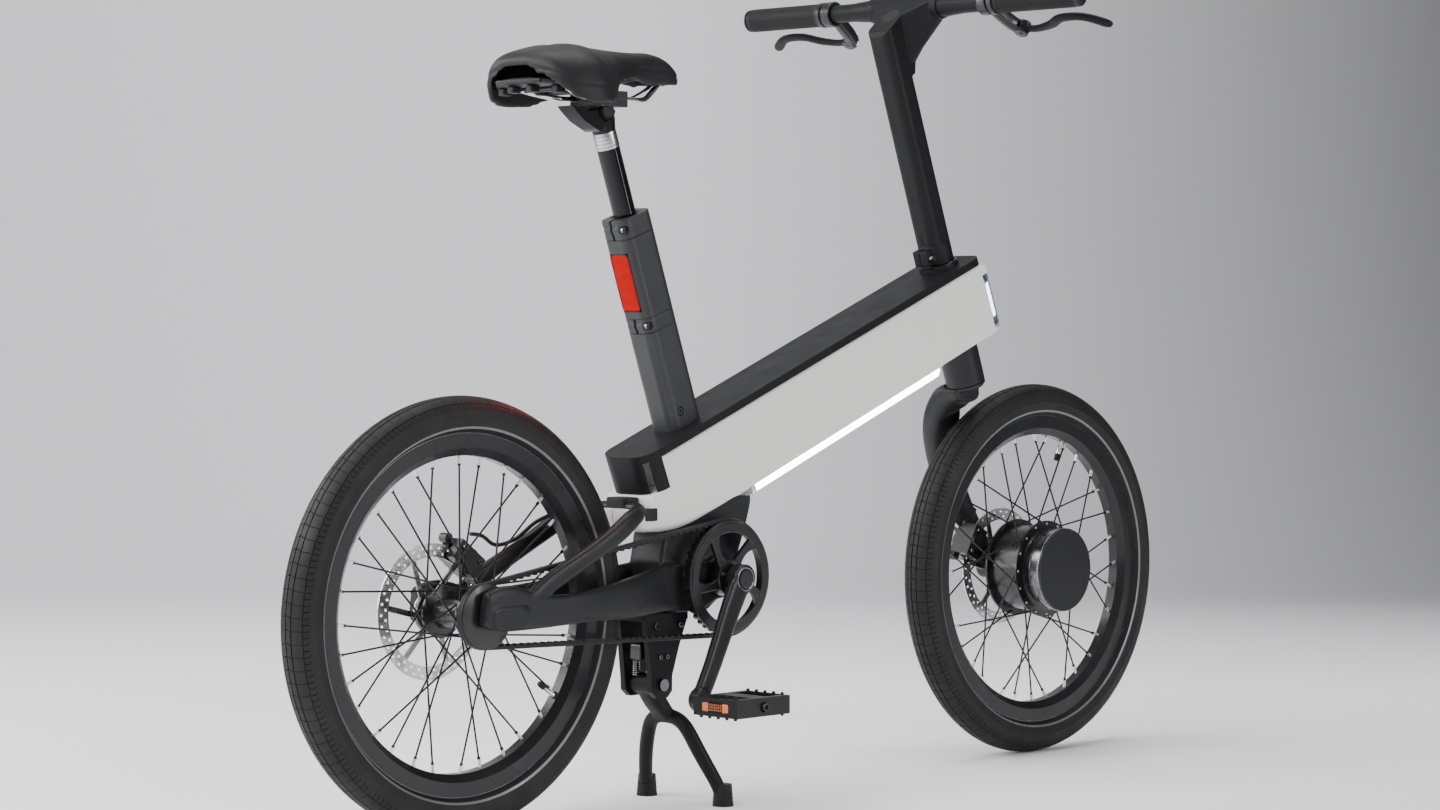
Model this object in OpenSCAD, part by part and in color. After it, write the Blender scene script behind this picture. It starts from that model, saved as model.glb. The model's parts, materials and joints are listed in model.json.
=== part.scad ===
// Compact electric city bicycle with a box-section main beam, belt drive, hub motor,
// one-sided fork, telescoping seat post and turnable stem.
// +X forward, +Y left, +Z up; origin on the ground midway between the axles.

/* [Wheels] */
// Distance between the axles
wheelbase = 1052; // [1046:2:1060]
// Outside diameter of both tyres
tyre_d = 506; // [504:1:508]
// Width of the tyre section
tyre_w = 50; // [48:1:50]
// Spokes in each wheel
spoke_count = 32; // [24:4:32]
// Diameter of a spoke
spoke_d = 2.3; // [2:0.1:2.4]
// Diameter of the brake discs
disc_d = 160; // [150:2:160]

/* [Main beam] */
// Slope of the beam from the ground
beam_angle = 21.84; // [21.5:0.1:22]
// Height of the beam's top face over the origin
beam_top_z = 533.3; // [530:1:536]
// Width of the beam
beam_w = 80; // [78:1:82]
// Depth of the beam, square to its top face
beam_h = 108.5; // [107:0.5:110]
// Thickness of the black deck on top of the beam
deck_t = 10; // [8:1:10]
// Wall thickness of the side shells
shell_t = 3; // [2.5:0.5:3]

/* [Steering] */
// Tilt of the steering axis from vertical
head_angle = 19.86; // [19.5:0.1:20.2]
// Outside diameter of the head tube
head_d = 53; // [52:1:54]
// Diameter of the steerer tube
steerer_d = 28.6; // [28:0.1:29]
// Diameter of the stem riser
riser_d = 38; // [36:1:40]
// Height of the handlebar's centre line
bar_z = 1003.6; // [1000:1:1008]
// Reach of the handlebar ahead of the origin
bar_x = 263; // [260:1:266]
// Overall length of the handlebar
bar_len = 566; // [560:2:570]
// Diameter of the handlebar at the grips
bar_d = 24; // [22:1:24]
// Length of one grip
grip_len = 130; // [120:2:132]

/* [Seat] */
// Tilt of the seat mast from vertical
mast_angle = 19.45; // [19:0.1:20]
// Width of the seat mast
mast_w = 44; // [43:1:46]
// Fore-aft depth of the seat mast
mast_l = 54; // [53:1:56]
// Diameter of the seat post
post_d = 28; // [27:0.2:28.4]
// Length of the saddle
saddle_len = 268; // [264:2:272]
// Width of the saddle
saddle_w = 166; // [160:2:170]

/* [Drive] */
// Teeth on the front belt pulley
front_teeth = 40; // [39:1:40]
// Teeth on the rear belt pulley
rear_teeth = 20; // [20:1:21]
// Pitch of the belt
belt_pitch = 11; // [10.9:0.1:11]
// Length of a crank
crank_len = 170; // [165:1:172]
// Direction of the right crank, turned up from straight ahead
crank_turn = 234.9; // [225:1:240]

/* [Hidden] */
$fn = 48;

// Clearance between turning surfaces, on the radius
gap = 0.05;
// Wheels
tyre_r = tyre_d / 2;
section_r = tyre_w / 2;
tyre_mid_r = tyre_r - section_r;
rim_outer_r = tyre_mid_r - 17;
rim_inner_r = rim_outer_r - 27;
axle_z = tyre_r;
front_x = wheelbase / 2;
rear_x = -wheelbase / 2;
disc_t = 1.8;
front_disc_y = 56;
rear_disc_y = 49;
// Steering axis: it crosses the beam's top face at head_x
head_x = 327.56;
head_z = beam_top_z + head_x * tan(beam_angle);
steerer_r = steerer_d / 2;
riser_round = 12;
head_r = head_d / 2;
head_below = 164;
head_above = 5;
// Handlebar centre measured in the steering frame
bar_u = (bar_z - head_z) * cos(head_angle) - (bar_x - head_x) * sin(head_angle);
bar_f = (bar_x - head_x) * cos(head_angle) + (bar_z - head_z) * sin(head_angle);
// Seat mast: its axis crosses the beam's top face at mast_x
mast_x = -168;
mast_z = beam_top_z + mast_x * tan(beam_angle);
mast_low = 126;
mast_ring = 19;
mast_mod = 100;
mast_cap = 25;
mast_len = mast_low + mast_ring + mast_mod + mast_cap;
mast_bore_r = 17;
clamp_bolt_x = -22.5;
post_r = post_d / 2;
post_rise = 401;
tilt_room = 11;
saddle_pivot = [mast_x - post_rise * sin(mast_angle), 0, mast_z + post_rise * cos(mast_angle)];
rail_y = 22;
saddle_tail = -440;
saddle_z = 897;
// Drive
crank_x = -128;
crank_z = 277;
belt_y = -45;
belt_w = 9;
belt_t = 4;
front_pulley_r = front_teeth * belt_pitch / PI / 2 - 1;
rear_pulley_r = rear_teeth * belt_pitch / PI / 2 - 1;
bb_half = 36;
spindle_r = 12;
crank_root_y = 73;
crank_end_y = 97;
pedal_y = 131;
pedal_len = 72;
pedal_spindle_r = 6;
pedal_off = [crank_len * cos(crank_turn), 0, crank_len * sin(crank_turn)];
// Beam lengths along the beam from the origin's plumb line
beam_front = 400;
beam_rear = -286;
deck_front = 394;
deck_seam = -212;
cap_step = -257;
cap_h = 50;
spine_h = 76;
tail_x = -278;
tail_z = 337.3;
tail_h = 28;
tail_r = 22;
tail_bend_r = 190;
light_top = 27;
light_bot = 98;
// Stand
stand_x = -219;
stand_z = 150;
stand_bolt_r = 5;
// Brake lever pivots, on a plane that dips forward from the bar
lever_dip = 30;
lever_y = 150;
lever_f = 62;

function unit(v) = v / norm(v);
function xyz(v) = [v[0], v[1], v[2]];
// Catmull-Rom point between b and c
function spline(a, b, c, d, t) = 0.5 * (2 * b + (c - a) * t
    + (2 * a - 5 * b + 4 * c - d) * t * t + (3 * b - a - 3 * c + d) * t * t * t);
function smooth_path(k, n) = concat(
    [for (i = [0:len(k) - 2]) for (j = [0:n - 1])
        spline(k[max(i - 1, 0)], k[i], k[i + 1], k[min(i + 2, len(k) - 1)], j / n)],
    [k[len(k) - 1]]);
function power(v, p) = sign(v) * pow(abs(v), p);

// Solid swept along knots [x, y, z, half-size across, half-size along ref]
module sweep(knots, n = 4, sides = 20, square = 2, ref = [0, 1, 0]) {
    p = smooth_path(knots, n);
    m = len(p);
    dir = [for (i = [0:m - 1]) unit(xyz(p[min(i + 1, m - 1)]) - xyz(p[max(i - 1, 0)]))];
    side = [for (t = dir) unit(cross(t, ref))];
    up = [for (i = [0:m - 1]) cross(side[i], dir[i])];
    points = [for (i = [0:m - 1]) for (k = [0:sides - 1])
        let (a = 360 * k / sides)
        xyz(p[i]) + p[i][3] * power(cos(a), 2 / square) * side[i]
            + p[i][4] * power(sin(a), 2 / square) * up[i]];
    loft(points, m, sides, [[for (k = [0:sides - 1]) k]]);
}

// Skin over m rings of n points each; cap lists the faces that close the last ring
module loft(points, m, n, cap) {
    walls = [for (i = [0:m - 2]) for (k = [0:n - 1])
        let (a = i * n, b = a + n, k2 = (k + 1) % n)
        each [[a + k, b + k2, b + k], [a + k, a + k2, b + k2]]];
    first = [for (f = cap) [for (k = [len(f) - 1:-1:0]) f[k]]];
    last = [for (f = cap) [for (k = f) (m - 1) * n + k]];
    polyhedron(points, concat(first, walls, last), convexity = 6);
}

// Round bar along Y from y0 to y1
module axle(r, y0, y1) {
    translate([0, y0, 0]) rotate([-90, 0, 0]) cylinder(r = r, h = y1 - y0);
}

module ring(ro, ri, y0, y1) {
    difference() {
        axle(ro, y0, y1);
        axle(ri, y0 - 1, y1 + 1);
    }
}

// Tube standing on its frame's origin
module tube(ro, ri, h) {
    difference() {
        cylinder(r = ro, h = h);
        translate([0, 0, -1]) cylinder(r = ri, h = h + 2);
    }
}

// Turned part about Y from a profile of [radius, y]
module turned(profile) {
    rotate([-90, 0, 0]) rotate_extrude($fn = 96) polygon(profile);
}

// Side-view outline [x, z] given thickness from y0 to y1
module slab(y0, y1) {
    translate([0, y1, 0]) rotate([90, 0, 0]) linear_extrude(y1 - y0) children();
}

module rounded_rect(l, w, r) {
    square([l - 2 * r, w], center = true);
    square([l, w - 2 * r], center = true);
    for (x = [-1, 1], y = [-1, 1]) translate([x * (l / 2 - r), y * (w / 2 - r)]) circle(r = r);
}

// Straight round bar between two points
module bar(a, b, r) {
    d = b - a;
    translate(a) rotate([0, acos(d[2] / norm(d)), atan2(d[1], d[0])]) cylinder(r = r, h = norm(d));
}

// Socket-head bolt, head top at the origin, shank along -Z
module bolt(d, l) {
    head_h = d * 0.8;
    difference() {
        union() {
            translate([0, 0, -head_h]) cylinder(d = d * 1.7, h = head_h);
            translate([0, 0, -head_h - l]) cylinder(d = d, h = l + 0.1);
        }
        translate([0, 0, -d * 0.5]) cylinder(d = d * 0.95, h = d, $fn = 6);
    }
}

module at_front() { translate([front_x, 0, axle_z]) children(); }
module at_rear() { translate([rear_x, 0, axle_z]) children(); }
module at_crank() { translate([crank_x, 0, crank_z]) children(); }
// Beam frame: x runs up the beam, z stands square to its top face
module beam_frame() { translate([0, 0, beam_top_z]) rotate([0, -beam_angle, 0]) children(); }
// Steering frame: z runs up the steering axis from the beam's top face
module head_frame() { translate([head_x, 0, head_z]) rotate([0, -head_angle, 0]) children(); }
// Mast frame: z runs up the mast from the beam's top face
module mast_frame() { translate([mast_x, 0, mast_z]) rotate([0, -mast_angle, 0]) children(); }

// ---- Main beam ----

// Plan outline of the beam with rounded ends, from s0 to s1
module plan(s0, s1, w, r0, r1) {
    translate([s0 + r0, -w / 2]) square([s1 - s0 - r0 - r1, w]);
    translate([s0, -w / 2 + r0]) square([r0 + 1, w - 2 * r0]);
    translate([s1 - r1 - 1, -w / 2 + r1]) square([r1 + 1, w - 2 * r1]);
    for (y = [-1, 1]) {
        translate([s0 + r0, y * (w / 2 - r0)]) circle(r = r0);
        translate([s1 - r1, y * (w / 2 - r1)]) circle(r = r1);
    }
}

module deck() {
    color("#1b1c1e") difference() {
        beam_frame() translate([0, 0, -deck_t]) linear_extrude(deck_t)
            plan(deck_seam + 0.4, deck_front, beam_w + 2, 0.5, 14);
        head_frame() translate([0, 0, -30]) cylinder(r = head_r + 0.5, h = 60);
        mast_frame() translate([0, 0, -20]) cylinder(r = mast_bore_r, h = 40);
    }
}

module rear_cap() {
    skirt = cap_step - beam_rear;
    color("#1b1c1e") beam_frame() {
        translate([0, 0, -deck_t]) linear_extrude(deck_t)
            plan(beam_rear, deck_seam, beam_w + 2, 26, 0.5);
        translate([0, 0, -cap_h]) linear_extrude(cap_h - deck_t + 0.01) difference() {
            plan(beam_rear, deck_seam, beam_w + 2, 26, 0.5);
            translate([beam_rear + 5, -beam_w / 2 + 4]) square([skirt + 5, beam_w - 8]);
            translate([cap_step, -beam_w]) square([100, 2 * beam_w]);
        }
    }
}

// Side outline of the shell, inset by t, in world X and Z
module shell_side(t) {
    x0 = tail_x + t;
    z0 = tail_z + t;
    r = tail_r - t;
    bend_r = tail_bend_r - t;
    // The tail's flat bottom meets the slope at corner_x
    corner_x = (z0 - beam_top_z + (beam_h - t) / cos(beam_angle)) / tan(beam_angle);
    difference() {
        union() {
            translate([x0 + r, z0]) square([corner_x - x0 - r, tail_h - 2 * t]);
            translate([x0, z0 + r]) square([r + 1, tail_h - 2 * t - r]);
            translate([x0 + r, z0 + r]) circle(r = r);
            difference() {
                translate([0, beam_top_z]) rotate(beam_angle)
                    translate([beam_rear - 4 + t, -beam_h + t])
                        square([beam_front - beam_rear + 4 - 2 * t, beam_h - deck_t - t]);
                translate([-400, 0]) square([800, z0]);
            }
        }
        translate([corner_x - bend_r * tan(beam_angle / 2), z0 + bend_r]) shell_bend(bend_r);
    }
}

// Material outside the arc that joins the flat tail to the sloping bottom
module shell_bend(r) {
    difference() {
        translate([0, -r - 60]) square([r * sin(beam_angle), r + 60]);
        circle(r = r, $fn = 180);
    }
}

// Both side shells together, hollow and open at the top
module shell_pair() {
    difference() {
        slab(-beam_w / 2, beam_w / 2) shell_side(0);
        slab(-beam_w / 2 + shell_t, beam_w / 2 - shell_t) shell_side(shell_t);
        // Headlight window across the front and round both corners
        beam_frame() translate([beam_front - 12, -beam_w, -light_bot])
            cube([30, 2 * beam_w, light_bot - light_top]);
        // Cap seat at the rear
        beam_frame() translate([beam_rear - 60, -beam_w, -cap_h - 0.3])
            cube([cap_step - beam_rear + 60, 2 * beam_w, cap_h + 10]);
        head_frame() translate([0, 0, -200]) cylinder(r = head_r + 0.5, h = 220);
        // Opening for the bottom-bracket column
        translate([-210, -29, 300]) cube([150, 58, 110]);
        translate([-300, -29, 300]) cube([95, 58, 80]);
        // Seat for the bracket that carries the stays
        translate([-300, -60, 366.1]) cube([50.3, 120, 60]);
    }
}

module shell_right() {
    color("#cfccc4") intersection() {
        shell_pair();
        translate([-500, -100.05, 200]) cube([1200, 100, 600]);
    }
}

module shell_left() {
    color("#cfccc4") intersection() {
        shell_pair();
        translate([-500, 0.05, 200]) cube([1200, 100, 600]);
    }
}

// Height just under the spine at x
function spine_low(x) = beam_top_z + x * tan(beam_angle) - (deck_t + spine_h) / cos(beam_angle) - 0.1;

// Aluminium box that carries the load inside the shells
module spine() {
    w = 56;
    h = spine_h;
    wall = 4;
    color("#8d9094") difference() {
        beam_frame() translate([-205, -w / 2, -deck_t - h]) cube([575, w, h]);
        beam_frame() translate([-206, -w / 2 + wall, -deck_t - h + wall])
            cube([577, w - 2 * wall, h - 2 * wall]);
        head_frame() translate([0, 0, -200]) cylinder(r = head_r, h = 230);
        mast_frame() translate([0, 0, -120]) cylinder(r = mast_bore_r, h = 140);
        translate([-300, -40, 250]) cube([400, 80, 116]);
    }
}

module battery_pack() {
    color("#3a4a5a") beam_frame() translate([-60, -22, -78]) cube([350, 44, 60]);
}

module circuit_boards() {
    color("#2f6b3a") {
        beam_frame() translate([-125, -20, -76]) cube([50, 40, 3]);
        beam_frame() translate([beam_front - 16, -30, -light_bot + 4])
            cube([2, 60, light_bot - light_top - 8]);
        mast_frame() translate([-mast_l / 2 + 5.4, -11, mast_low + mast_ring + 15])
            cube([1.6, 22, 62]);
    }
}

module headlight_lens() {
    h = light_bot - light_top;
    color("#dfe9ff") beam_frame() translate([0, 0, -light_bot + 0.3]) linear_extrude(h - 0.6)
        difference() {
            plan(beam_front - 40, beam_front + 1, beam_w + 1, 0.5, 10);
            translate([beam_front - 50, -beam_w]) square([38.2, 2 * beam_w]);
            translate([beam_front - 13, -beam_w / 2 + 4]) square([9, beam_w - 8]);
        }
}

// Light strips that hang under the lower edges of the shells
module led_strips() {
    l = 412;
    color("white") for (y = [-1, 1]) beam_frame()
        translate([-150, y * (beam_w / 2 - 3), 0]) rotate([90, 0, 0])
            translate([0, 0, -3.4]) linear_extrude(6.8)
                polygon([[0, -beam_h - 0.2], [16, -beam_h - 7.5], [30, -beam_h - 8.7],
                    [l - 8, -beam_h - 8.7], [l, -beam_h - 2], [l, -beam_h - 0.2]]);
}

// ---- Head tube and steering bearings ----

module head_tube() {
    seat_r = 21;
    color("#232427") head_frame() translate([0, 0, -head_below]) difference() {
        cylinder(r = head_r, h = head_below + head_above);
        translate([0, 0, -1]) cylinder(r = 17, h = head_below + head_above + 2);
        translate([0, 0, -1]) cylinder(r = seat_r, h = 13);
        translate([0, 0, head_below + head_above - 12]) cylinder(r = seat_r, h = 13);
    }
}

module frame_bearings() {
    color("#b9bcc0") {
        head_frame() translate([0, 0, -head_below + 2]) tube(21, steerer_r + gap, 10);
        head_frame() translate([0, 0, head_above - 12]) tube(21, steerer_r + gap, 10);
        at_crank() ring(20.5, spindle_r + gap, -bb_half + 1, -bb_half + 10);
        at_crank() ring(20.5, spindle_r + gap, bb_half - 10, bb_half - 1);
    }
}

// ---- Seat mast ----

module mast_section(h, grow = 0) {
    linear_extrude(h) rounded_rect(mast_l + grow, mast_w + grow, 13 + grow / 2);
}

module mast_bore() { translate([0, 0, -60]) cylinder(r = mast_bore_r, h = 500); }

module mast_tube() {
    color("#3b3d41") difference() {
        mast_frame() translate([0, 0, -15]) mast_section(mast_low + 15 - 0.3);
        mast_frame() mast_bore();
        // Foot cut to lie on the deck
        beam_frame() translate([-300, -50, -60]) cube([300, 100, 60]);
        // Counterbored bolt on the right side
        mast_frame() translate([-9, -mast_w / 2 - 1, 20]) rotate([-90, 0, 0]) cylinder(r = 5.6, h = 6);
        mast_frame() translate([-9, -mast_w / 2 - 1, 20]) rotate([-90, 0, 0]) cylinder(r = 2.6, h = 7);
    }
}

module light_module() {
    z0 = mast_low + mast_ring;
    color("#3b3d41") mast_frame() difference() {
        translate([0, 0, z0]) mast_section(mast_mod - 0.3);
        mast_bore();
        translate([-mast_l / 2 - 1, -15.2, z0 + 9]) cube([6.4, 30.4, 74.4]);
        translate([-mast_l / 2 + 4, -11.2, z0 + 14.8]) cube([3.2, 22.4, 62.4]);
    }
}

module tail_lens() {
    z0 = mast_low + mast_ring + 9.2;
    color("red") mast_frame() intersection() {
        translate([-mast_l / 2, 0, z0 + 37]) rotate([0, 90, 0]) linear_extrude(5.3)
            rounded_rect(74, 30, 6);
        translate([0, 0, z0 - 1]) mast_section(80);
    }
}

// Split rings above and below the light module, pinched by a bolt behind the bore
module mast_clamps() {
    color("#2c2e31") for (c = [[mast_low, mast_ring], [mast_low + mast_ring + mast_mod, mast_cap]])
        mast_frame() translate([0, 0, c[0]]) difference() {
            union() {
                mast_section(c[1] - 0.3);
                translate([clamp_bolt_x, 0, c[1] / 2]) axle(6, -13, 13);
            }
            translate([0, 0, -100]) cylinder(r = mast_bore_r, h = 200);
            translate([-mast_l / 2 - 9, -1.2, -1]) cube([24, 2.4, 40]);
            translate([clamp_bolt_x, 0, c[1] / 2]) axle(2.5, -60, 60);
            for (y = [-40, 14]) translate([clamp_bolt_x, y, c[1] / 2]) axle(4.6, 0, 26);
        }
}

module post_shim() {
    color("#202124") mast_frame() translate([0, 0, mast_len - 90])
        tube(mast_bore_r, post_r + gap, 89);
}

module frame_bolts() {
    color("#c9ccd0") {
        for (z = [mast_low + mast_ring / 2, mast_len - mast_cap / 2]) mast_frame()
            translate([clamp_bolt_x, -18, z]) rotate([90, 0, 0]) bolt(5, 28);
        mast_frame() translate([-9, -mast_w / 2 + 0.4, 20]) rotate([90, 0, 0]) bolt(5, 1.6);
        // Stand pivot
        translate([stand_x, -27.1, stand_z]) rotate([90, 0, 0]) {
            cylinder(r = 7.5, h = 4);
            translate([0, 0, -54.2]) cylinder(r = stand_bolt_r, h = 54.3);
            translate([0, 0, -58.2]) cylinder(r = 7.5, h = 4.1);
        }
    }
}

// ---- Seat post and saddle ----

module seatpost() {
    color("#101113") {
        difference() {
            mast_frame() translate([0, 0, 92]) cylinder(r = post_r, h = post_rise - 92 - 4);
            mast_frame() translate([0, 0, 91]) cylinder(r = post_r - 2.5, h = post_rise - 112);
            translate(saddle_pivot) axle(9.05, -30, 30);
        }
        // Cradle under the saddle clamp
        translate(saddle_pivot) difference() {
            union() {
                ring(12, 9.05, -16, 16);
                rotate([0, -mast_angle, 0]) translate([0, 0, -26]) cylinder(r1 = post_r, r2 = 17, h = 14);
                // Arm that reaches back under the rails
                slab(-13, 13) polygon([[-56, 3], [-50, -3], [-36, -14], [-10, -26], [8, -22], [8, 0],
                    [-20, 2]]);
            }
            axle(9.05, -40, 40);
            for (a = [-tilt_room, tilt_room]) rotate([0, a, 0]) translate([-30, -40, 3]) cube([60, 80, 40]);
        }
    }
}

module saddle_clamp() {
    color("#c9ccd0") translate(saddle_pivot) difference() {
        union() {
            axle(9, -17, 17);
            translate([-20, -rail_y - 7, 3.4]) cube([40, 2 * rail_y + 14, 19]);
        }
        for (y = [-rail_y, rail_y]) translate([-30, y, 13]) rotate([0, 90, 0]) cylinder(r = 3.5, h = 60);
        for (x = [-13, 13]) translate([x, 0, 18]) cylinder(r = 4.3, h = 10);
        translate([-21, -rail_y - 20, 12.6]) cube([42, 2 * rail_y + 40, 0.8]);
    }
}

// One saddle rail from the tail socket to the nose socket
module saddle_rail(y) {
    p = saddle_pivot;
    sweep([[p[0] - 108, y * 2.1, p[2] + 28, 3.4, 3.4], [p[0] - 84, y * 1.7, p[2] + 20, 3.4, 3.4],
        [p[0] - 50, y, p[2] + 13, 3.4, 3.4], [p[0] - 23, y, p[2] + 13, 3.4, 3.4],
        [p[0] + 23, y, p[2] + 13, 3.4, 3.4], [p[0] + 42, y, p[2] + 13, 3.4, 3.4],
        [p[0] + 64, y * 0.62, p[2] + 16, 3.4, 3.4], [p[0] + 84, y * 0.3, p[2] + 27, 3.4, 3.4],
        [p[0] + 98, y * 0.2, p[2] + 38, 3.4, 3.4]],
        n = 5, sides = 12);
}

module saddle_rails() {
    color("#d8dade") for (y = [-rail_y, rail_y]) saddle_rail(y);
}

// Saddle stations: [distance from the tail, half width, lower edge, top], heights from saddle_z
saddle_stations = [[0, 30, -13, 0], [10, 58, -26, 10], [30, 76, -45, 16], [55, 83, -51, 21],
    [75, 82, -51, 21], [100, 70, -47, 18], [125, 52, -28, 17], [150, 37, -19, 17], [180, 27, -16, 18],
    [210, 22, -21, 20], [240, 19, -19, 15], [260, 14, -18, 4], [268, 6, -13, -4]];

// Points of an arch across the saddle from right to left, w half wide, from height lo to hi
function arch(x, w, lo, hi, m) = [for (k = [0:m]) let (a = 180 * k / m)
    [x, -w * power(cos(a), 0.7), lo + (hi - lo) * pow(abs(sin(a)), 0.8)]];
function reversed(v) = [for (k = [len(v) - 1:-1:0]) v[k]];

// Padded shell of the saddle, open beneath
module saddle_cover() {
    m = 14;
    n = 2 * m + 2;
    wall = 9;
    pad = 12;
    rows = smooth_path(saddle_stations, 2);
    points = [for (q = rows) let (
            x = saddle_tail + q[0] * saddle_len / 268,
            w = q[1] * saddle_w / 166,
            lo = saddle_z + q[2],
            hi = saddle_z + q[3])
        each concat(arch(x, w, lo, hi, m),
            reversed(arch(x, max(w - wall, w * 0.4), lo, max(hi - pad, lo + 1), m)))];
    color("#17181a")
        loft(points, len(rows), n, [for (k = [0:m - 1]) [k, k + 1, n - 2 - k, n - 1 - k]]);
}

// Moulded plate that closes the saddle from beneath and holds the rails
module saddle_base() {
    t = 4;
    tail = saddle_tail;
    color("#222326") difference() {
        sweep([[tail + 8, 0, saddle_z - 25, t, 36], [tail + 40, 0, saddle_z - 29, t, 66],
            [tail + 100, 0, saddle_z - 29, t, 54], [tail + 140, 0, saddle_z - 21, t, 28],
            [tail + 190, 0, saddle_z - 11, t, 11], [tail + 244, 0, saddle_z - 11, t, 6]],
            n = 4, sides = 24, square = 3);
        for (y = [-rail_y, rail_y]) saddle_rail(y);
    }
}

// ---- Rear frame ----

module yoke() {
    color("#2a2b2e") difference() {
        union() {
            // Column from the beam to the bottom bracket
            slab(-28, 28) polygon([[-222, 300], [-214, 340], [-205, spine_low(-190)],
                [-190, spine_low(-190)], [-66, spine_low(-66)], [-64, 366], [-71, 343], [-88, 300],
                [-104, 262], [-140, 237], [-210, 237]]);
            at_crank() axle(27, -bb_half, bb_half);
            slab(-35, 35) polygon([[-205, 291], [-160, 296], [-128, 300], [-110, 262],
                [-128, 251], [-160, 237], [-205, 237]]);
        }
        at_crank() axle(20.5, -bb_half - 1, -bb_half + 10);
        at_crank() axle(20.5, bb_half - 10, bb_half + 1);
        at_crank() axle(17, -bb_half, bb_half);
        // Cable duct up the column
        translate([-180, 0, 330]) cylinder(r = 12, h = 60);
    }
}

// One Y-shaped stay; dir is -1 for the right side, spread its inner face at the axle
module stay(dir, spread) {
    t = 8;
    y = dir * (spread + t);
    difference() {
        union() {
            // Lower arm from the axle to the yoke
            sweep([[rear_x - 14, y, 261, 17, t - 1], [rear_x - 9, y, 261, 21.5, t],
                [rear_x + 24, y, 262, 27, t], [rear_x + 86, y, 255, 19, t],
                [rear_x + 154, y - dir, 257.5, 19, t], [rear_x + 226, dir * 50, 261, 24.5, 8],
                [rear_x + 266, dir * 39, 264, 26.5, 7.4], [rear_x + 302, dir * 31, 267.5, 28.5, 6.5],
                [rear_x + 334, dir * 28.5, 269, 28, 6]], n = 3, sides = 20, square = 3.4);
            // Upper arm that rises to the bridge under the rear cap
            sweep([[rear_x + 54, y, 268, 9, t - 0.6], [rear_x + 93, y, 289.5, 12, t - 0.6],
                [rear_x + 156, y, 319, 11, t - 0.6], [rear_x + 196, y, 339, 12, t - 0.4],
                [rear_x + 220, dir * 57, 353, 12, 8], [rear_x + 244, dir * 48.8, 362, 10, 8]],
                n = 3, sides = 16, square = 3);
        }
        at_rear() axle(5, -90, 90);
    }
}

// The right stay carries a raised cover over the axle end
module stay_right() {
    color("#2f3033") {
        stay(-1, 52);
        slab(-70, -67.8) translate([rear_x + 21, 251.5]) rounded_rect(54, 25, 9);
    }
}

module stay_left() {
    color("#2f3033") difference() {
        stay(1, 55);
        translate([rear_x, rear_disc_y, axle_z]) axle(disc_d / 2 + 3, -4, 5.6);
    }
}

// Block under the rear cap that joins the tops of the stays, clear of the tyre
module stay_bridge() {
    color("#1b1c1e") {
        slab(-50, 50) polygon([[-287, 363.4], [-284, 354], [-279.4, 352], [-279.2, 366.3],
            [-250, 366.3], [-250, 378.2]]);
        for (y = [-50, 37]) slab(y, y + 13) polygon([[-299, 350], [-279.4, 350], [-279.4, 366],
            [-287, 363.4], [-299, 358.6]]);
    }
}

module rear_axle() {
    color("#b9bcc0") at_rear() {
        axle(5, -67.4, 75);
        ring(9, 5, 71.2, 76);
        ring(8, 5, 51.5, 54.8);
        ring(8, 5, -51.8, -50.9);
    }
}

// ---- Belt drive ----

// Outline round both pulleys, grown by o
module belt_outline(o) {
    dx = crank_x - rear_x;
    dz = crank_z - axle_z;
    d = norm([dx, dz]);
    r1 = front_pulley_r + o;
    r2 = rear_pulley_r + o;
    lean = atan2(dz, dx);
    b = acos((r1 - r2) / d);
    translate([crank_x, crank_z]) circle(r = r1, $fn = 180);
    translate([rear_x, axle_z]) circle(r = r2, $fn = 180);
    polygon([
        [crank_x + r1 * cos(lean + 180 - b), crank_z + r1 * sin(lean + 180 - b)],
        [rear_x + r2 * cos(lean + 180 - b), axle_z + r2 * sin(lean + 180 - b)],
        [rear_x + r2 * cos(lean + 180 + b), axle_z + r2 * sin(lean + 180 + b)],
        [crank_x + r1 * cos(lean + 180 + b), crank_z + r1 * sin(lean + 180 + b)]]);
}

module belt() {
    color("#141414") slab(belt_y - belt_w / 2, belt_y + belt_w / 2) difference() {
        belt_outline(0.4 + belt_t);
        belt_outline(0.4);
    }
}

module front_pulley() {
    r = front_pulley_r;
    color("#1a1b1d") at_crank() difference() {
        union() {
            ring(r, r - 9, belt_y - 5, belt_y + 5);
            ring(r - 1, r - 13, belt_y - 10, belt_y - 6);
            ring(r - 3, r - 9, belt_y - 7, belt_y - 4);
            ring(23, spindle_r, belt_y - 12, belt_y + 6);
            for (i = [0:4]) rotate([0, 72 * i + 18, 0]) translate([20, belt_y - 10, -5.5])
                cube([r - 28, 6, 11]);
        }
        axle(spindle_r, -90, 0);
    }
}

module rear_pulley() {
    r = rear_pulley_r;
    color("#8d9094") at_rear() difference() {
        union() {
            axle(r, belt_y - 5, belt_y + 5);
            axle(r + 4, belt_y - 5.7, belt_y - 4.9);
            axle(16, belt_y + 5, belt_y + 8.6);
        }
        axle(5 + gap, -90, 0);
    }
}

module crank_arm(side) {
    y0 = side * crank_root_y;
    y1 = side * crank_end_y;
    k = side < 0 ? 1 : -1;
    end = k * pedal_off;
    difference() {
        union() {
            sweep([[0, y0, 0, 16, 6.5], [end[0] * 0.25, y0 + (y1 - y0) * 0.2, end[2] * 0.25, 15, 6.5],
                [end[0] * 0.7, y0 + (y1 - y0) * 0.75, end[2] * 0.7, 12.5, 6],
                [end[0], y1, end[2], 12, 6]], n = 3, sides = 20, square = 3.4);
            axle(18, min(y0 - 7, y0 + 7), max(y0 - 7, y0 + 7));
            translate(end) axle(14, y1 - 6.5, y1 + 6.5);
        }
        axle(spindle_r - 3, -100, 100);
        axle(spindle_r, -66.5, 66.5);
        translate(end) axle(pedal_spindle_r, -110, 110);
    }
}

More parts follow.
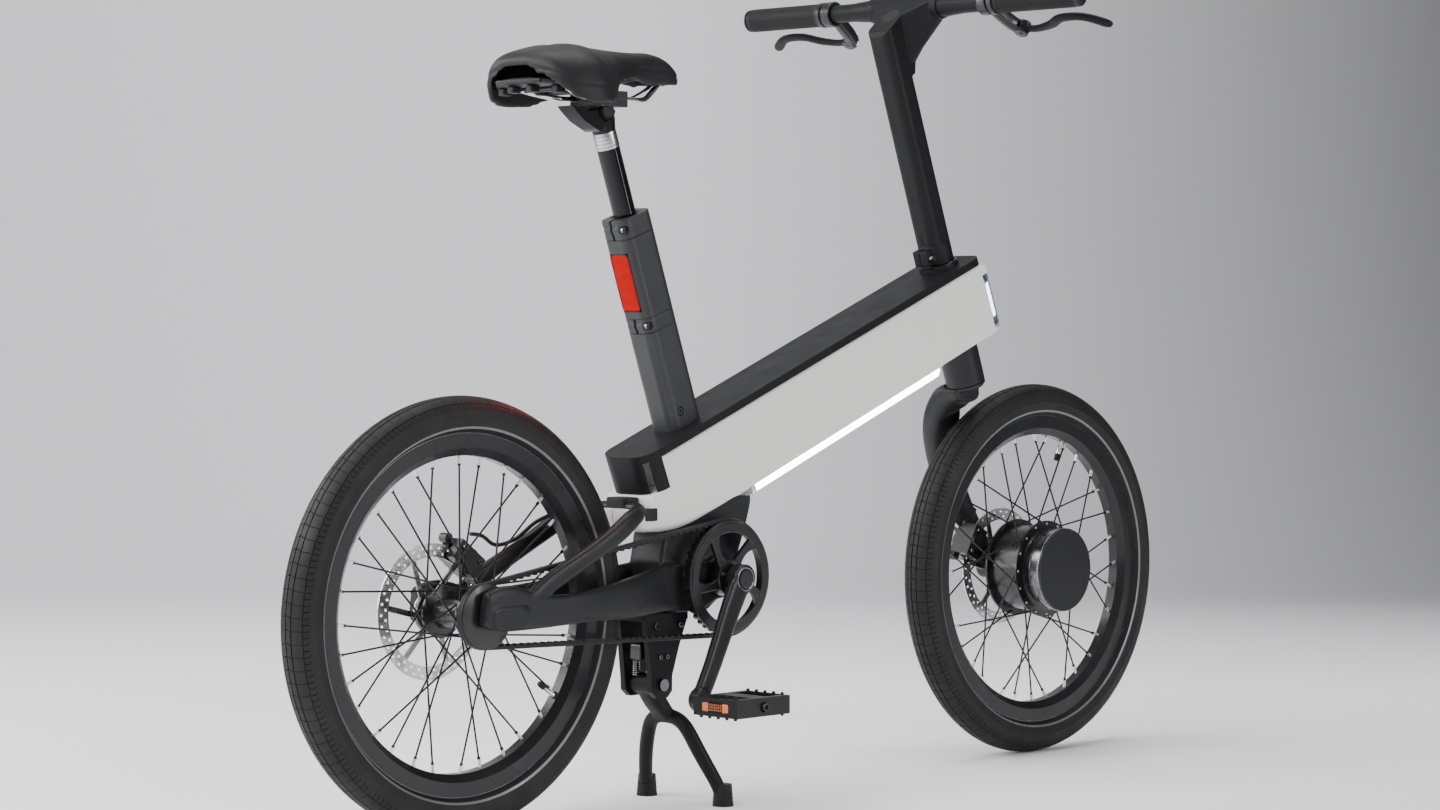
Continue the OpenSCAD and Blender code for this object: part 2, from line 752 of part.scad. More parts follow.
module crank_set() {
    color("#232427") at_crank() {
        crank_arm(-1);
        crank_arm(1);
    }
    color("#b9bcc0") at_crank() {
        difference() {
            axle(spindle_r, -66.5, 66.5);
            axle(8, -70, 70);
        }
        translate(pedal_off) axle(pedal_spindle_r, -pedal_y - pedal_len + 6, 6 - crank_end_y);
        translate(-pedal_off) axle(pedal_spindle_r, crank_end_y - 6, pedal_y + pedal_len - 6);
    }
}

module pedal(side) {
    l = 90;
    h = 22;
    y0 = side < 0 ? -pedal_y - pedal_len : pedal_y;
    difference() {
        union() {
            difference() {
                translate([-l / 2, y0, -h / 2]) cube([l, pedal_len, h]);
                for (x = [-1, 1]) translate([x * 27 - 14.5, y0 + 9, -h]) cube([29, pedal_len - 18, 2 * h]);
                for (x = [-1, 1]) translate([x * 45 - 2, y0 + 24, -6]) cube([4, pedal_len - 48, 12]);
            }
            axle(11, y0, y0 + pedal_len);
            for (x = [-1, 1]) for (i = [0:4])
                translate([x * 40, y0 + 8 + i * (pedal_len - 16) / 4, -h / 2 - 3]) cylinder(r = 2, h = h + 6);
        }
        axle(pedal_spindle_r + gap, -220, 220);
    }
    color("#d9731a") for (x = [-1, 1]) translate([x * 44.4 - 1.5, y0 + 24.5, -5.5])
        cube([3, pedal_len - 49, 11]);
}

module pedal_right() {
    color("#1d1e20") at_crank() translate(pedal_off) pedal(-1);
}

module pedal_left() {
    color("#1d1e20") at_crank() translate(-pedal_off) pedal(1);
}

// ---- Wheels ----

module tyre() {
    color("#1b1b1c") rotate([90, 0, 0]) rotate_extrude($fn = 128) {
        difference() {
            translate([tyre_mid_r, 0]) circle(r = section_r, $fn = 64);
            translate([tyre_mid_r + 0.5, 0]) circle(r = section_r - 4, $fn = 64);
            translate([0, -50]) square([rim_outer_r + 0.1, 100]);
        }
        for (y = [-1, 1]) translate([rim_outer_r - 6, y * 10.2 - 2.2]) square([9, 4.4]);
    }
}

module rim() {
    r0 = rim_inner_r;
    r1 = rim_outer_r;
    color("#1a1b1c") turned([[r0, -7], [r0, 7], [r0 + 9, 15], [r1, 15], [r1, 12.6], [r0 + 18, 12.6],
        [r0 + 16, 9], [r0 + 16, -9], [r0 + 18, -12.6], [r1, -12.6], [r1, -15], [r0 + 9, -15]]);
}

// Spokes laced from a hub flange at radius hub_r and offsets y_r, y_l to the rim
module spokes(hub_r, y_r, y_l, cross_by) {
    half = spoke_count / 2;
    step = 360 / half;
    color("#1d1d1e") for (s = [0, 1]) for (k = [0:half - 1]) {
        lead = k % 2 == 0 ? 1 : -1;
        a = step * (k + s / 2);
        b = a + lead * cross_by * step;
        y = s == 0 ? y_r : y_l;
        hub = [hub_r * cos(a), y + lead * 1.7, hub_r * sin(a)];
        rim = [(rim_inner_r + 2) * cos(b), (s == 0 ? -2 : 2), (rim_inner_r + 2) * sin(b)];
        bed = rim + unit(hub - rim) * 14;
        bar(hub, rim, spoke_d / 2);
        bar(bed, rim, 2);
    }
}

// Brake disc: two braking rings of holes on curved-edge arms
module disc() {
    r = disc_d / 2;
    color("#d4d6d8") difference() {
        union() {
            ring(r, r - 16, -disc_t / 2, disc_t / 2);
            ring(25, 18, -disc_t / 2, disc_t / 2);
            for (i = [0:5]) rotate([0, 60 * i, 0]) translate([19, -disc_t / 2, 0])
                rotate([0, 14, 0]) cube([r - 31, disc_t, 7]);
        }
        for (i = [0:35]) for (j = [0:1]) rotate([0, 10 * i + 5 * j, 0])
            translate([r - 5 - 6.5 * j, 0, 0]) axle(1.9, -3, 3);
        for (i = [0:5]) rotate([0, 60 * i + 30, 0]) translate([22, 0, 0]) axle(2, -3, 3);
    }
}

module front_tyre() { at_front() tyre(); }
module rear_tyre() { at_rear() tyre(); }
module front_rim() { at_front() rim(); }
module rear_rim() { at_rear() rim(); }
module front_spokes() { at_front() spokes(61, -25, 26, 2); }
module rear_spokes() { at_rear() spokes(26, -29, 29, 3); }
module front_disc() { translate([0, front_disc_y, 0]) at_front() disc(); }
module rear_disc() { translate([0, rear_disc_y, 0]) at_rear() disc(); }

module hub_motor() {
    b = 6 + gap;
    color("#1c1d1f") at_front() turned([[b, -56.8], [b, front_disc_y - disc_t / 2],
        [25, front_disc_y - disc_t / 2], [25, 50], [28, 46], [40, 42], [50, 36], [57, 31],
        [57, 27.5], [66, 27.5], [66, 24.5],
        [58, 24.5], [58, -23.5], [66, -23.5], [66, -26.5], [56, -26.5], [50, -30], [50, -38],
        [56, -40], [56, -56.8]]);
}

module hub_cap() {
    color("#2a2b2e") at_front() turned([[0, -59.5], [0, -57], [56, -57], [56, -58], [55, -59],
        [30, -59.4]]);
}

module rear_hub() {
    b = 5 + gap;
    e = rear_disc_y - disc_t / 2;
    color("#1c1d1f") at_rear() turned([[b, -35.6], [b, e], [25, e], [25, e - 5], [19, e - 8],
        [18, 33], [29.5, 30.5], [29.5, 27.5], [18, 24], [16, 0], [18, -24], [29.5, -27.5],
        [29.5, -30.5], [18, -33], [18, -35.6]]);
}

// ---- Fork ----

module fork_blade() {
    color("#26272a") difference() {
        union() {
            sweep([[380, -6, 500, 16, 24], [382, 14, 496, 19, 24], [386, 37, 478, 21, 25],
                [395, 54, 447, 20, 25], [419, 67, 400, 17, 24], [450, 74, 350, 14, 22],
                [487, 76, 299, 12, 21], [front_x, 75, axle_z, 10, 17]], n = 4, sides = 24,
                square = 2.6, ref = [1, 0, 0]);
            head_frame() translate([0, 0, -head_below - 8]) cylinder(r = 24, h = 7.4);
            at_front() axle(18, 64, 86);
        }
        at_front() axle(6, 0, 120);
        at_front() axle(tyre_r + 6, -40, 31);
        head_frame() translate([0, 0, -head_below - 0.6]) cylinder(r = 60, h = 60);
        head_frame() translate([0, 0, -head_below - 6]) cylinder(r = steerer_r, h = 60);
        at_front() axle(disc_d / 2 + 3, front_disc_y - 5, front_disc_y + 4);
    }
}

module steerer() {
    color("#8d9094") head_frame() translate([0, 0, -head_below - 6])
        tube(steerer_r, steerer_r - 3, head_below + 6 + 78);
}

module front_axle() {
    color("#b9bcc0") at_front() {
        axle(6, -55, 84);
        axle(10, 86, 90);
        axle(5, 83, 87);
        ring(9, 6, front_disc_y + 2, 63.8);
    }
}

// Disc caliper: two halves either side of the disc and a piston boss
module caliper() {
    color("#1d1e20") difference() {
        union() {
            translate([-22, -16, -13]) cube([44, 32, 26]);
            axle(12, 10, 19);
            axle(12, -19, -10);
            for (x = [-1, 1]) translate([x * 26, 0, 10]) axle(6, 4, 16);
            // Arm to the stay or fork leg
            translate([18, 10, -6]) cube([34, 6, 16]);
        }
        translate([-60, -3.4, -60]) cube([120, 6.8, 66]);
    }
    color("#6a5a48") for (s = [-1, 1]) translate([-12, s * 2.2 - 1.1, -11]) cube([24, 2.2, 16]);
}

// Puts a caliper over the disc edge at an angle up from straight ahead
module at_disc(angle) {
    rotate([0, -angle, 0]) translate([disc_d / 2 - 3, 0, 0]) rotate([0, 90, 0]) children();
}

module front_caliper() { translate([0, front_disc_y, 0]) at_front() at_disc(152) caliper(); }
module rear_caliper() { translate([0, rear_disc_y, 0]) at_rear() at_disc(52) caliper(); }

module rear_hose() {
    r = 2.5;
    color("#111111") sweep([[-452, 61, 340, r, r], [-434, 61, 337, r, r], [-412, 61, 325, r, r],
        [-380, 61, 331, r, r], [-354, 54, 350, r, r], [-331, 40, 362, r, r], [-306, 32, 365, r, r],
        [-283, 31, 359.6, r, r]], n = 4, sides = 10);
}

// ---- Stem, bar and controls ----

module stem() {
    u0 = head_above + 1.6;
    color("#1f2022") difference() {
        union() {
            head_frame() translate([0, 0, u0]) cylinder(r = 22, h = 24);
            head_frame() translate([0, 0, u0 + 24]) cylinder(r1 = 22, r2 = riser_d / 2, h = 4);
            head_frame() translate([0, 0, u0 + 12]) linear_extrude(bar_u - u0 - 74)
                rounded_rect(riser_d, riser_d, riser_round);
            stem_gusset();
            translate([bar_x, 0, bar_z]) axle(17, -60, 60);
            // Pinch lugs behind the base
            head_frame() translate([-32, -13, u0 + 3]) cube([14, 26, 22]);
        }
        head_frame() translate([0, 0, -10]) cylinder(r = steerer_r + gap, h = 110);
        head_frame() translate([-40, -1, u0 - 1]) cube([30, 2, 44]);
        head_frame() translate([-27, 0, u0 + 14]) rotate([90, 0, 0]) cylinder(r = 2.6, h = 60, center = true);
        translate([bar_x, 0, bar_z]) axle(15, -80, 80);
        stem_top() translate([0, 0, -5]) cylinder(r = 13, h = 40);
    }
    color("#c9ccd0") head_frame() translate([-27, -14.2, u0 + 14]) rotate([90, 0, 0])
        translate([0, 0, 0.9]) bolt(5, 22);
}

// Gusset that widens from the riser to the bar, with a flat sloping top
module stem_gusset() {
    r = riser_d / 2;
    low = bar_u - 80;
    side = [[-r, low], [-r, bar_u - 18], [-r + 5, bar_u - 11],
        [bar_f - 2, bar_u + 16], [bar_f + 4, bar_u + 14], [bar_f + 10, bar_u - 10],
        [r + 14, bar_u - 48], [r, low]];
    front = [[-r, low], [-r, bar_u - 64], [-58, bar_u - 12], [-58, bar_u + 20], [58, bar_u + 20],
        [58, bar_u - 12], [r, bar_u - 64], [r, low]];
    top = [[0, -r], [r - 4, -r], [bar_f - 10, -56], [bar_f + 20, -58], [bar_f + 20, 58],
        [bar_f - 10, 56], [r - 4, r], [0, r]];
    head_frame() intersection() {
        translate([0, 60, 0]) rotate([90, 0, 0]) linear_extrude(120) polygon(side);
        translate([-60, 0, 0]) rotate([90, 0, 90]) linear_extrude(180) polygon(front);
        translate([0, 0, low - 1]) linear_extrude(140) {
            polygon(top);
            rounded_rect(riser_d, riser_d, riser_round);
        }
    }
}

// Frame on the sloping top face of the stem
module stem_top() {
    r = riser_d / 2;
    rise = [bar_f - 2 + r - 5, 27];
    head_frame() translate([-r + 5 + rise[0] * 0.46, 0, bar_u - 11 + rise[1] * 0.46])
        rotate([0, -atan2(rise[1], rise[0]), 0]) children();
}

module power_button() {
    color("#3a3c40") stem_top() translate([0, 0, -3.2]) cylinder(r = 12.9, h = 2.6);
}

module handlebar() {
    h = bar_len / 2;
    color("#1b1c1e") translate([bar_x, 0, bar_z]) turned([[11, -h], [11, h], [12, h],
        [12, 96], [15, 60], [15, -60], [12, -96], [12, -h]]);
}

module grips() {
    h = bar_len / 2;
    color("#161617") translate([bar_x, 0, bar_z]) for (s = [0, 1]) mirror([0, s, 0]) {
        ring(15.5, bar_d / 2, h - grip_len, h - 1);
        ring(17, bar_d / 2, h - grip_len - 8, h - grip_len - 0.2);
        axle(15, h + 0.1, h + 3);
    }
}

// Frame on a brake lever plane: x points forward and down from the bar, z is square to it
module lever_frame() {
    translate([bar_x, 0, bar_z]) rotate([0, lever_dip, 0]) children();
}

module lever_bodies() {
    color("#1d1e20") for (s = [0, 1]) mirror([0, s, 0]) lever_frame() difference() {
        union() {
            ring(17, bar_d / 2, 128, 143);
            sweep([[13, 136, 0, 7, 8], [30, 138, 0, 8, 9], [50, 142, 0, 8, 9],
                [lever_f + 6, lever_y, 0, 9, 8]], n = 3, sides = 16, square = 3, ref = [0, 0, 1]);
            translate([lever_f, lever_y, -9]) cylinder(r = 9, h = 18);
        }
        translate([lever_f - 12, lever_y - 10.6, -4.1]) cube([40, 40, 8.2]);
        translate([lever_f, lever_y, -4.1]) cylinder(r = 10.6, h = 8.2);
    }
    color("#c9ccd0") for (s = [0, 1]) mirror([0, s, 0]) lever_frame()
        translate([lever_f, lever_y, -9.8]) cylinder(r = 2.5, h = 19.6);
}

module lever(s) {
    color("#161719") mirror([0, s, 0]) lever_frame() difference() {
        union() {
            translate([lever_f, lever_y, -3.9]) cylinder(r = 9.6, h = 7.8);
            sweep([[lever_f, lever_y, 0, 7, 3.9], [lever_f + 3, lever_y + 22, 0, 6, 3.9],
                [lever_f - 4, lever_y + 50, 0, 7, 4.4], [lever_f - 16, lever_y + 74, 0, 7, 4.6],
                [lever_f - 15, lever_y + 108, 0, 6.5, 4.8], [lever_f + 2, lever_y + 134, 0, 7, 5],
                [lever_f + 8, lever_y + 139, 0, 4, 3]], n = 4, sides = 16, ref = [0, 0, 1]);
        }
        translate([lever_f, lever_y, -10]) cylinder(r = 2.5 + gap, h = 20);
    }
}

module lever_right() { lever(1); }
module lever_left() { lever(0); }

// ---- Stand ----

module stand_bracket() {
    color("#232427") difference() {
        union() {
            translate([-247, -27, 228]) cube([72, 54, 8.9]);
            for (y = [-27, 19]) slab(y, y + 8) polygon([[-247, 232], [-175, 232], [-190, 196],
                [-202, 160], [-202, 142], [-210, 134], [-228, 134], [-237, 142], [-238, 160],
                [-242, 196]]);
        }
        translate([stand_x, 0, stand_z]) axle(stand_bolt_r, -40, 40);
        for (x = [-231, -191]) translate([x, 0, 220]) cylinder(r = 3, h = 30);
    }
}

// One leg of the arch; s is the side
module stand_leg(s) {
    sweep([[stand_x + 32, -s * 3, stand_z - 42, 9, 9], [stand_x + 34, s * 16, stand_z - 44, 9, 9],
        [stand_x + 37, s * 31, stand_z - 55, 9, 9], [stand_x + 46, s * 47, stand_z - 87, 9, 9],
        [stand_x + 60, s * 62, stand_z - 124, 8.5, 8.5],
        [stand_x + 66, s * 66, stand_z - 145, 8.5, 8.5]], n = 4, sides = 20, ref = [1, 0, 0]);
}

module stand_legs() {
    color("#1d1e20") difference() {
        union() {
            translate([stand_x, 0, stand_z]) axle(13, -18.6, 18.6);
            sweep([[stand_x + 2, 0, stand_z - 4, 11, 15], [stand_x + 14, 0, stand_z - 22, 11, 15],
                [stand_x + 32, 0, stand_z - 42, 9, 14]], n = 3, sides = 20, square = 3);
            for (s = [-1, 1]) stand_leg(s);
        }
        translate([stand_x, 0, stand_z]) axle(stand_bolt_r + gap, -30, 30);
    }
}

module stand_feet() {
    color("#141414") for (s = [-1, 1]) difference() {
        translate([stand_x + 66, s * 66, 0]) {
            cylinder(r = 13, h = 3);
            translate([0, 0, 3]) cylinder(r1 = 12.5, r2 = 11, h = 24);
        }
        stand_leg(s);
    }
}

deck();
rear_cap();
shell_right();
shell_left();
spine();
head_tube();
frame_bearings();
headlight_lens();
led_strips();
circuit_boards();
battery_pack();
mast_tube();
light_module();
mast_clamps();
tail_lens();
post_shim();
frame_bolts();
yoke();
stay_right();
stay_left();
stay_bridge();
rear_axle();
belt();
rear_caliper();
stand_bracket();
rear_hose();
seatpost();
saddle_clamp();
saddle_rails();
saddle_base();
saddle_cover();
fork_blade();
steerer();
front_axle();
front_caliper();
front_tyre();
front_rim();
front_spokes();
hub_motor();
hub_cap();
front_disc();
rear_tyre();
rear_rim();
rear_spokes();
rear_hub();
rear_disc();
rear_pulley();
stem();
handlebar();
grips();
lever_bodies();
lever_right();
lever_left();
power_button();
crank_set();
front_pulley();
pedal_right();
pedal_left();
stand_legs();
stand_feet();
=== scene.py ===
"""Compact electric bicycle: looks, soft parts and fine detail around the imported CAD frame."""

import json
import math

import bpy
import numpy as np
from mathutils import Matrix, Vector


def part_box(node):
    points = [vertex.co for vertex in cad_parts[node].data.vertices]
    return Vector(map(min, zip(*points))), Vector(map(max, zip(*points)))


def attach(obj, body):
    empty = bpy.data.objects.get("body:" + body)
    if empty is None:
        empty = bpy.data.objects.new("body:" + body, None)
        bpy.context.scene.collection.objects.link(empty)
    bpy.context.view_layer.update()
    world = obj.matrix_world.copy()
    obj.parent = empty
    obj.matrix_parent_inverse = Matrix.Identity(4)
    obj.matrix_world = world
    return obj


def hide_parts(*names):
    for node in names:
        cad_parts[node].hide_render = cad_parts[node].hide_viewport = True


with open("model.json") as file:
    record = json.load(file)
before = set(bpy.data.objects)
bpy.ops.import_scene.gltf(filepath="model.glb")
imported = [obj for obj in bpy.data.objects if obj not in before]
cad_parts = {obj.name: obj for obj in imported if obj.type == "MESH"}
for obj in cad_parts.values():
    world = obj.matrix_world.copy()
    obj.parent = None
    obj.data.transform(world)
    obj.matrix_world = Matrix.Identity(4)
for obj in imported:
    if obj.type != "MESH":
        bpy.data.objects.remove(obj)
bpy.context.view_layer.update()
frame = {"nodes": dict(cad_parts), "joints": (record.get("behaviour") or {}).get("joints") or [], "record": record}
NODES = frame["nodes"]
JOINTS = {j["name"]: j for j in frame["joints"]}
SLOT_OF = {s["node"]: s["material_slot"] for s in frame["record"]["subparts"]}
BODY_OF = {n: b for b, ns in frame["record"]["behaviour"]["bodies"].items() for n in ns}
MM = 0.001


def joint_at(name):
    return Vector(JOINTS[name]["pos_m"])


def joint_axis(name):
    return Vector(JOINTS[name]["axis"]).normalized()


FRONT = joint_at("front_wheel_spin")
REAR = joint_at("rear_wheel_spin")
CRANK = joint_at("crank_spin")
STEER = joint_at("steering")
STEER_AXIS = joint_axis("steering")
MAST_AXIS = joint_axis("seatpost_slide")

# Frame dimensions in millimetres, as in the CAD source
BEAM_ANGLE = math.radians(21.84)
BEAM_TOP = 533.3
BEAM_H = 108.5
BEAM_HALF = 40.0
DECK_T = 10.0
MAST_FOOT = Vector((-0.168, 0, 0.4660))
BAR = Vector((0.263, 0, 1.0036))
BAR_HALF = 283.0
DISC_R = 80.0
DISC_BOLT_R = 22.0
BELT_PITCH = 11
CRANK_TEETH = 40
HUB_TEETH = 20
DROPOUT = (-505, 251.5)
POST_HEAD_Z = 0.822


# ---- Materials -------------------------------------------------------------------------


class Shader:
    """One Principled surface with short calls for grain, gloss changes and worn edges with a painted edge
    highlight.
    """

    def __init__(self, name, color, rough=0.5, metallic=0.0, coat=0.0, specular=0.5):
        self.material = bpy.data.materials.new(name)
        self.material.use_nodes = True
        self.tree = self.material.node_tree
        self.surface = self.tree.nodes["Principled BSDF"]
        self.color = color
        self.rough = rough
        self.surface.inputs["Base Color"].default_value = (*color, 1)
        self.surface.inputs["Roughness"].default_value = rough
        self.surface.inputs["Metallic"].default_value = metallic
        self.surface.inputs["Coat Weight"].default_value = coat
        self.surface.inputs["Coat Roughness"].default_value = 0.12
        self.surface.inputs["Specular IOR Level"].default_value = specular
        self.coords = self.tree.nodes.new("ShaderNodeTexCoord").outputs["Object"]
        self.normal = None

    def node(self, kind, **values):
        made = self.tree.nodes.new(kind)
        for key, value in values.items():
            if key in made.inputs:
                made.inputs[key].default_value = value
            else:
                setattr(made, key, value)
        return made

    def link(self, source, target):
        self.tree.links.new(source, target)

    def noise(self, scale, detail=4.0, rough=0.55, stretch=None):
        made = self.node("ShaderNodeTexNoise", Scale=scale, Detail=detail, Roughness=rough)
        source = self.coords
        if stretch:
            mapping = self.node("ShaderNodeMapping", Scale=stretch)
            self.link(source, mapping.inputs["Vector"])
            source = mapping.outputs["Vector"]
        self.link(source, made.inputs["Vector"])
        return made.outputs["Fac"]

    def remap(self, value, low, high, to_low=0.0, to_high=1.0):
        made = self.node("ShaderNodeMapRange")
        for name, number in (("From Min", low), ("From Max", high),
                             ("To Min", to_low), ("To Max", to_high)):
            made.inputs[name].default_value = number
        self.link(value, made.inputs["Value"])
        return made.outputs["Result"]

    def math(self, kind, a, b=0.0):
        made = self.node("ShaderNodeMath", operation=kind)
        for socket, value in zip(made.inputs, (a, b)):
            if isinstance(value, (int, float)):
                socket.default_value = value
            else:
                self.link(value, socket)
        return made.outputs["Value"]

    def mix(self, factor, a, b):
        made = self.node("ShaderNodeMix", data_type="RGBA")
        for name, value in (("A", a), ("B", b)):
            socket = [s for s in made.inputs if s.name == name and s.type == "RGBA"][0]
            if isinstance(value, tuple):
                socket.default_value = (*value, 1)
            else:
                self.link(value, socket)
        if isinstance(factor, (int, float)):
            made.inputs["Factor"].default_value = factor
        else:
            self.link(factor, made.inputs["Factor"])
        return [s for s in made.outputs if s.type == "RGBA"][0]

    def along(self, direction):
        """Distance from the origin measured along a direction, in metres."""
        made = self.node("ShaderNodeVectorMath", operation="DOT_PRODUCT")
        self.link(self.coords, made.inputs[0])
        made.inputs[1].default_value = tuple(direction)
        return made.outputs["Value"]

    def base(self, value):
        self.link(value, self.surface.inputs["Base Color"])

    def base_source(self):
        links = self.surface.inputs["Base Color"].links
        return links[0].from_socket if links else self.color

    def vary_rough(self, scale=40.0, amount=0.08):
        self.link(self.remap(self.noise(scale, 5), 0.3, 0.7, self.rough - amount,
                             self.rough + amount), self.surface.inputs["Roughness"])

    def vary_color(self, scale=12.0, amount=0.12):
        low = tuple(c * (1 - amount) for c in self.color)
        high = tuple(min(1, c * (1 + amount)) for c in self.color)
        self.base(self.mix(self.remap(self.noise(scale, 3), 0.3, 0.7), low, high))

    def bump(self, height, strength=0.2, distance=0.0002):
        made = self.node("ShaderNodeBump", Strength=strength, Distance=distance)
        self.link(height, made.inputs["Height"])
        if self.normal is not None:
            self.link(self.normal, made.inputs["Normal"])
        self.normal = made.outputs["Normal"]
        self.link(self.normal, self.surface.inputs["Normal"])

    def edges(self, radius=0.0006, wear_and_highlight=0.25, worn_highlight_color=None):
        """Rounds sharp edges in shading and lightens them, partly as wear on handled parts and partly as a painted
        edge highlight.
        """
        soft = self.node("ShaderNodeBevel", samples=4, Radius=radius)
        self.normal = soft.outputs["Normal"]
        self.link(self.normal, self.surface.inputs["Normal"])
        if wear_and_highlight <= 0:
            return
        geometry = self.node("ShaderNodeNewGeometry")
        dot = self.node("ShaderNodeVectorMath", operation="DOT_PRODUCT")
        self.link(soft.outputs["Normal"], dot.inputs[0])
        self.link(geometry.outputs["Normal"], dot.inputs[1])
        # Edge mask from the rounded normal; its lightening is part wear in noise patches, part painted edge
        # highlight
        edge = self.remap(dot.outputs["Value"], 0.99, 0.80)
        patch = self.remap(self.noise(90, 6), 0.42, 0.62)
        factor = self.math("MULTIPLY", self.math("MULTIPLY", edge, patch), wear_and_highlight)
        worn_highlight_color = worn_highlight_color or tuple(min(1, c * 2.2 + 0.03) for c in self.color)
        self.base(self.mix(factor, self.base_source(), worn_highlight_color))

    def ring_distance(self, center):
        """Distance from the wheel or crank axis through center, in metres."""
        move = self.node("ShaderNodeVectorMath", operation="SUBTRACT")
        self.link(self.coords, move.inputs[0])
        move.inputs[1].default_value = tuple(center)
        flat = self.node("ShaderNodeVectorMath", operation="MULTIPLY")
        self.link(move.outputs["Vector"], flat.inputs[0])
        flat.inputs[1].default_value = (1, 0, 1)
        length = self.node("ShaderNodeVectorMath", operation="LENGTH")
        self.link(flat.outputs["Vector"], length.inputs[0])
        return length.outputs["Value"]


def paint(name, color, rough=0.42, coat=0.0, grain=1400.0, strength=0.1, wear_and_highlight=0.15,
          radius=0.0008, metallic=0.0, specular=0.5):
    """Powder coat or anodising: fine orange peel, uneven gloss, slightly worn edges that also carry a painted edge
    highlight.
    """
    shader = Shader(name, color, rough, metallic, coat, specular)
    shader.vary_color(9, 0.08)
    shader.edges(radius, wear_and_highlight)
    shader.bump(shader.noise(grain, 3), strength, 0.00006)
    shader.vary_rough(30, 0.05)
    return shader.material


def bare_metal(name, color, rough=0.28, grain=(40, 900, 40), wear_and_highlight=0.1):
    """Turned or brushed metal with fine directional grain."""
    shader = Shader(name, color, rough, metallic=1.0)
    shader.vary_color(30, 0.06)
    # Near-white edges: part wear, part painted edge highlight
    shader.edges(0.0004, wear_and_highlight, (0.9, 0.9, 0.9))
    shader.bump(shader.noise(3, 6, stretch=grain), 0.12, 0.00004)
    shader.vary_rough(60, 0.07)
    return shader.material


def rubber(name, color, rough=0.62, grain=1800.0, strength=0.3):
    """Rubber: matt, faintly dusty, with a fine moulded grain."""
    shader = Shader(name, color, rough, specular=0.3)
    shader.vary_color(14, 0.15)
    dust = shader.remap(shader.noise(35, 8, 0.7), 0.55, 0.8)
    dusty = tuple(c + 0.012 for c in color)
    shader.base(shader.mix(shader.math("MULTIPLY", dust, 0.5), shader.base_source(), dusty))
    shader.edges(0.0004, 0)
    shader.bump(shader.noise(grain, 3), strength, 0.00008)
    shader.vary_rough(26, 0.08)
    return shader.material


def lacquer(name, color):
    """The pale satin-white coating of the side shells, with a faint clear coat."""
    shader = Shader(name, color, 0.36, coat=0.25)
    shader.vary_color(5, 0.012)
    dust = shader.remap(shader.noise(60, 8, 0.7), 0.62, 0.85)
    shader.base(shader.mix(shader.math("MULTIPLY", dust, 0.25), shader.base_source(),
                           tuple(c * 0.9 for c in color)))
    shader.edges(0.0006, 0.0)
    shader.bump(shader.noise(700, 2), 0.06, 0.00005)
    shader.vary_rough(18, 0.05)
    return shader.material


def lamp(name, color, strength, rough=0.15, cells=0.0, cell_dir=(1, 0, 0), gloss=0.6,
         body=None):
    """Lit lens: light-guide bands vary the glow under a glossy cover."""
    shader = Shader(name, body or color, rough, coat=gloss, specular=gloss * 0.8)
    glow = shader.remap(shader.noise(120, 3), 0.3, 0.7, strength * 0.85, strength * 1.1)
    if cells:
        band = shader.node("ShaderNodeTexWave", Scale=cells, Distortion=0.0)
        mapping = shader.node("ShaderNodeMapping", Scale=cell_dir)
        shader.link(shader.coords, mapping.inputs["Vector"])
        shader.link(mapping.outputs["Vector"], band.inputs["Vector"])
        dim = shader.remap(band.outputs["Fac"], 0, 1, 0.8, 1.0)
        glow = shader.math("MULTIPLY", glow, dim)
    shader.surface.inputs["Emission Color"].default_value = (*color, 1)
    shader.link(glow, shader.surface.inputs["Emission Strength"])
    shader.bump(shader.noise(500, 2), 0.05, 0.00005)
    return shader.material


def glass(name, color, rough=0.05):
    """Clear cover over a lamp."""
    shader = Shader(name, color, rough)
    shader.surface.inputs["Transmission Weight"].default_value = 0.92
    shader.surface.inputs["IOR"].default_value = 1.45
    shader.bump(shader.noise(300, 2), 0.04, 0.00005)
    shader.vary_rough(40, 0.02)
    return shader.material


def leather(name, color):
    """Saddle skin: pebbled grain with soft creases."""
    shader = Shader(name, color, 0.52, specular=0.3)
    shader.vary_color(25, 0.15)
    cells = shader.node("ShaderNodeTexVoronoi", Scale=900.0, feature="DISTANCE_TO_EDGE")
    shader.link(shader.coords, cells.inputs["Vector"])
    pebble = shader.remap(cells.outputs["Distance"], 0.0, 0.22)
    shader.bump(shader.noise(70, 4), 0.1, 0.0004)
    shader.bump(pebble, 0.35, 0.00008)
    shader.vary_rough(40, 0.07)
    return shader.material


def spoke_metal(name, center):
    """Black spokes whose ends at the rim and hub are bright nipples and heads."""
    shader = Shader(name, (0.010, 0.010, 0.011), 0.3, metallic=0.4)
    away = shader.ring_distance(center)
    nipple = shader.remap(away, 0.1745, 0.1755)
    shader.base(shader.mix(nipple, (0.010, 0.010, 0.011), (0.80, 0.81, 0.83)))
    shader.link(shader.remap(nipple, 0, 1, 0.4, 0.7), shader.surface.inputs["Metallic"])
    shader.bump(shader.noise(900, 3), 0.1, 0.00004)
    shader.vary_rough(60, 0.08)
    return shader.material


def rotor_steel(name, center):
    """Brake rotor: circular grinding marks, darker heat-tinted arms inside the braking band."""
    shader = Shader(name, (0.62, 0.63, 0.64), 0.26, metallic=1.0)
    away = shader.ring_distance(center)
    band = shader.node("ShaderNodeTexNoise", Scale=1.0, Detail=6.0, noise_dimensions="1D")
    shader.link(shader.math("MULTIPLY", away, 3500.0), band.inputs["W"])
    shader.base(shader.mix(shader.remap(away, 0.0625, 0.0645), (0.36, 0.35, 0.34),
                           (0.68, 0.69, 0.70)))
    # Near-white edges: part wear, part painted edge highlight
    shader.edges(0.0003, 0.1, (0.9, 0.9, 0.9))
    shader.bump(band.outputs["Fac"], 0.2, 0.00004)
    shader.vary_rough(80, 0.06)
    return shader.material


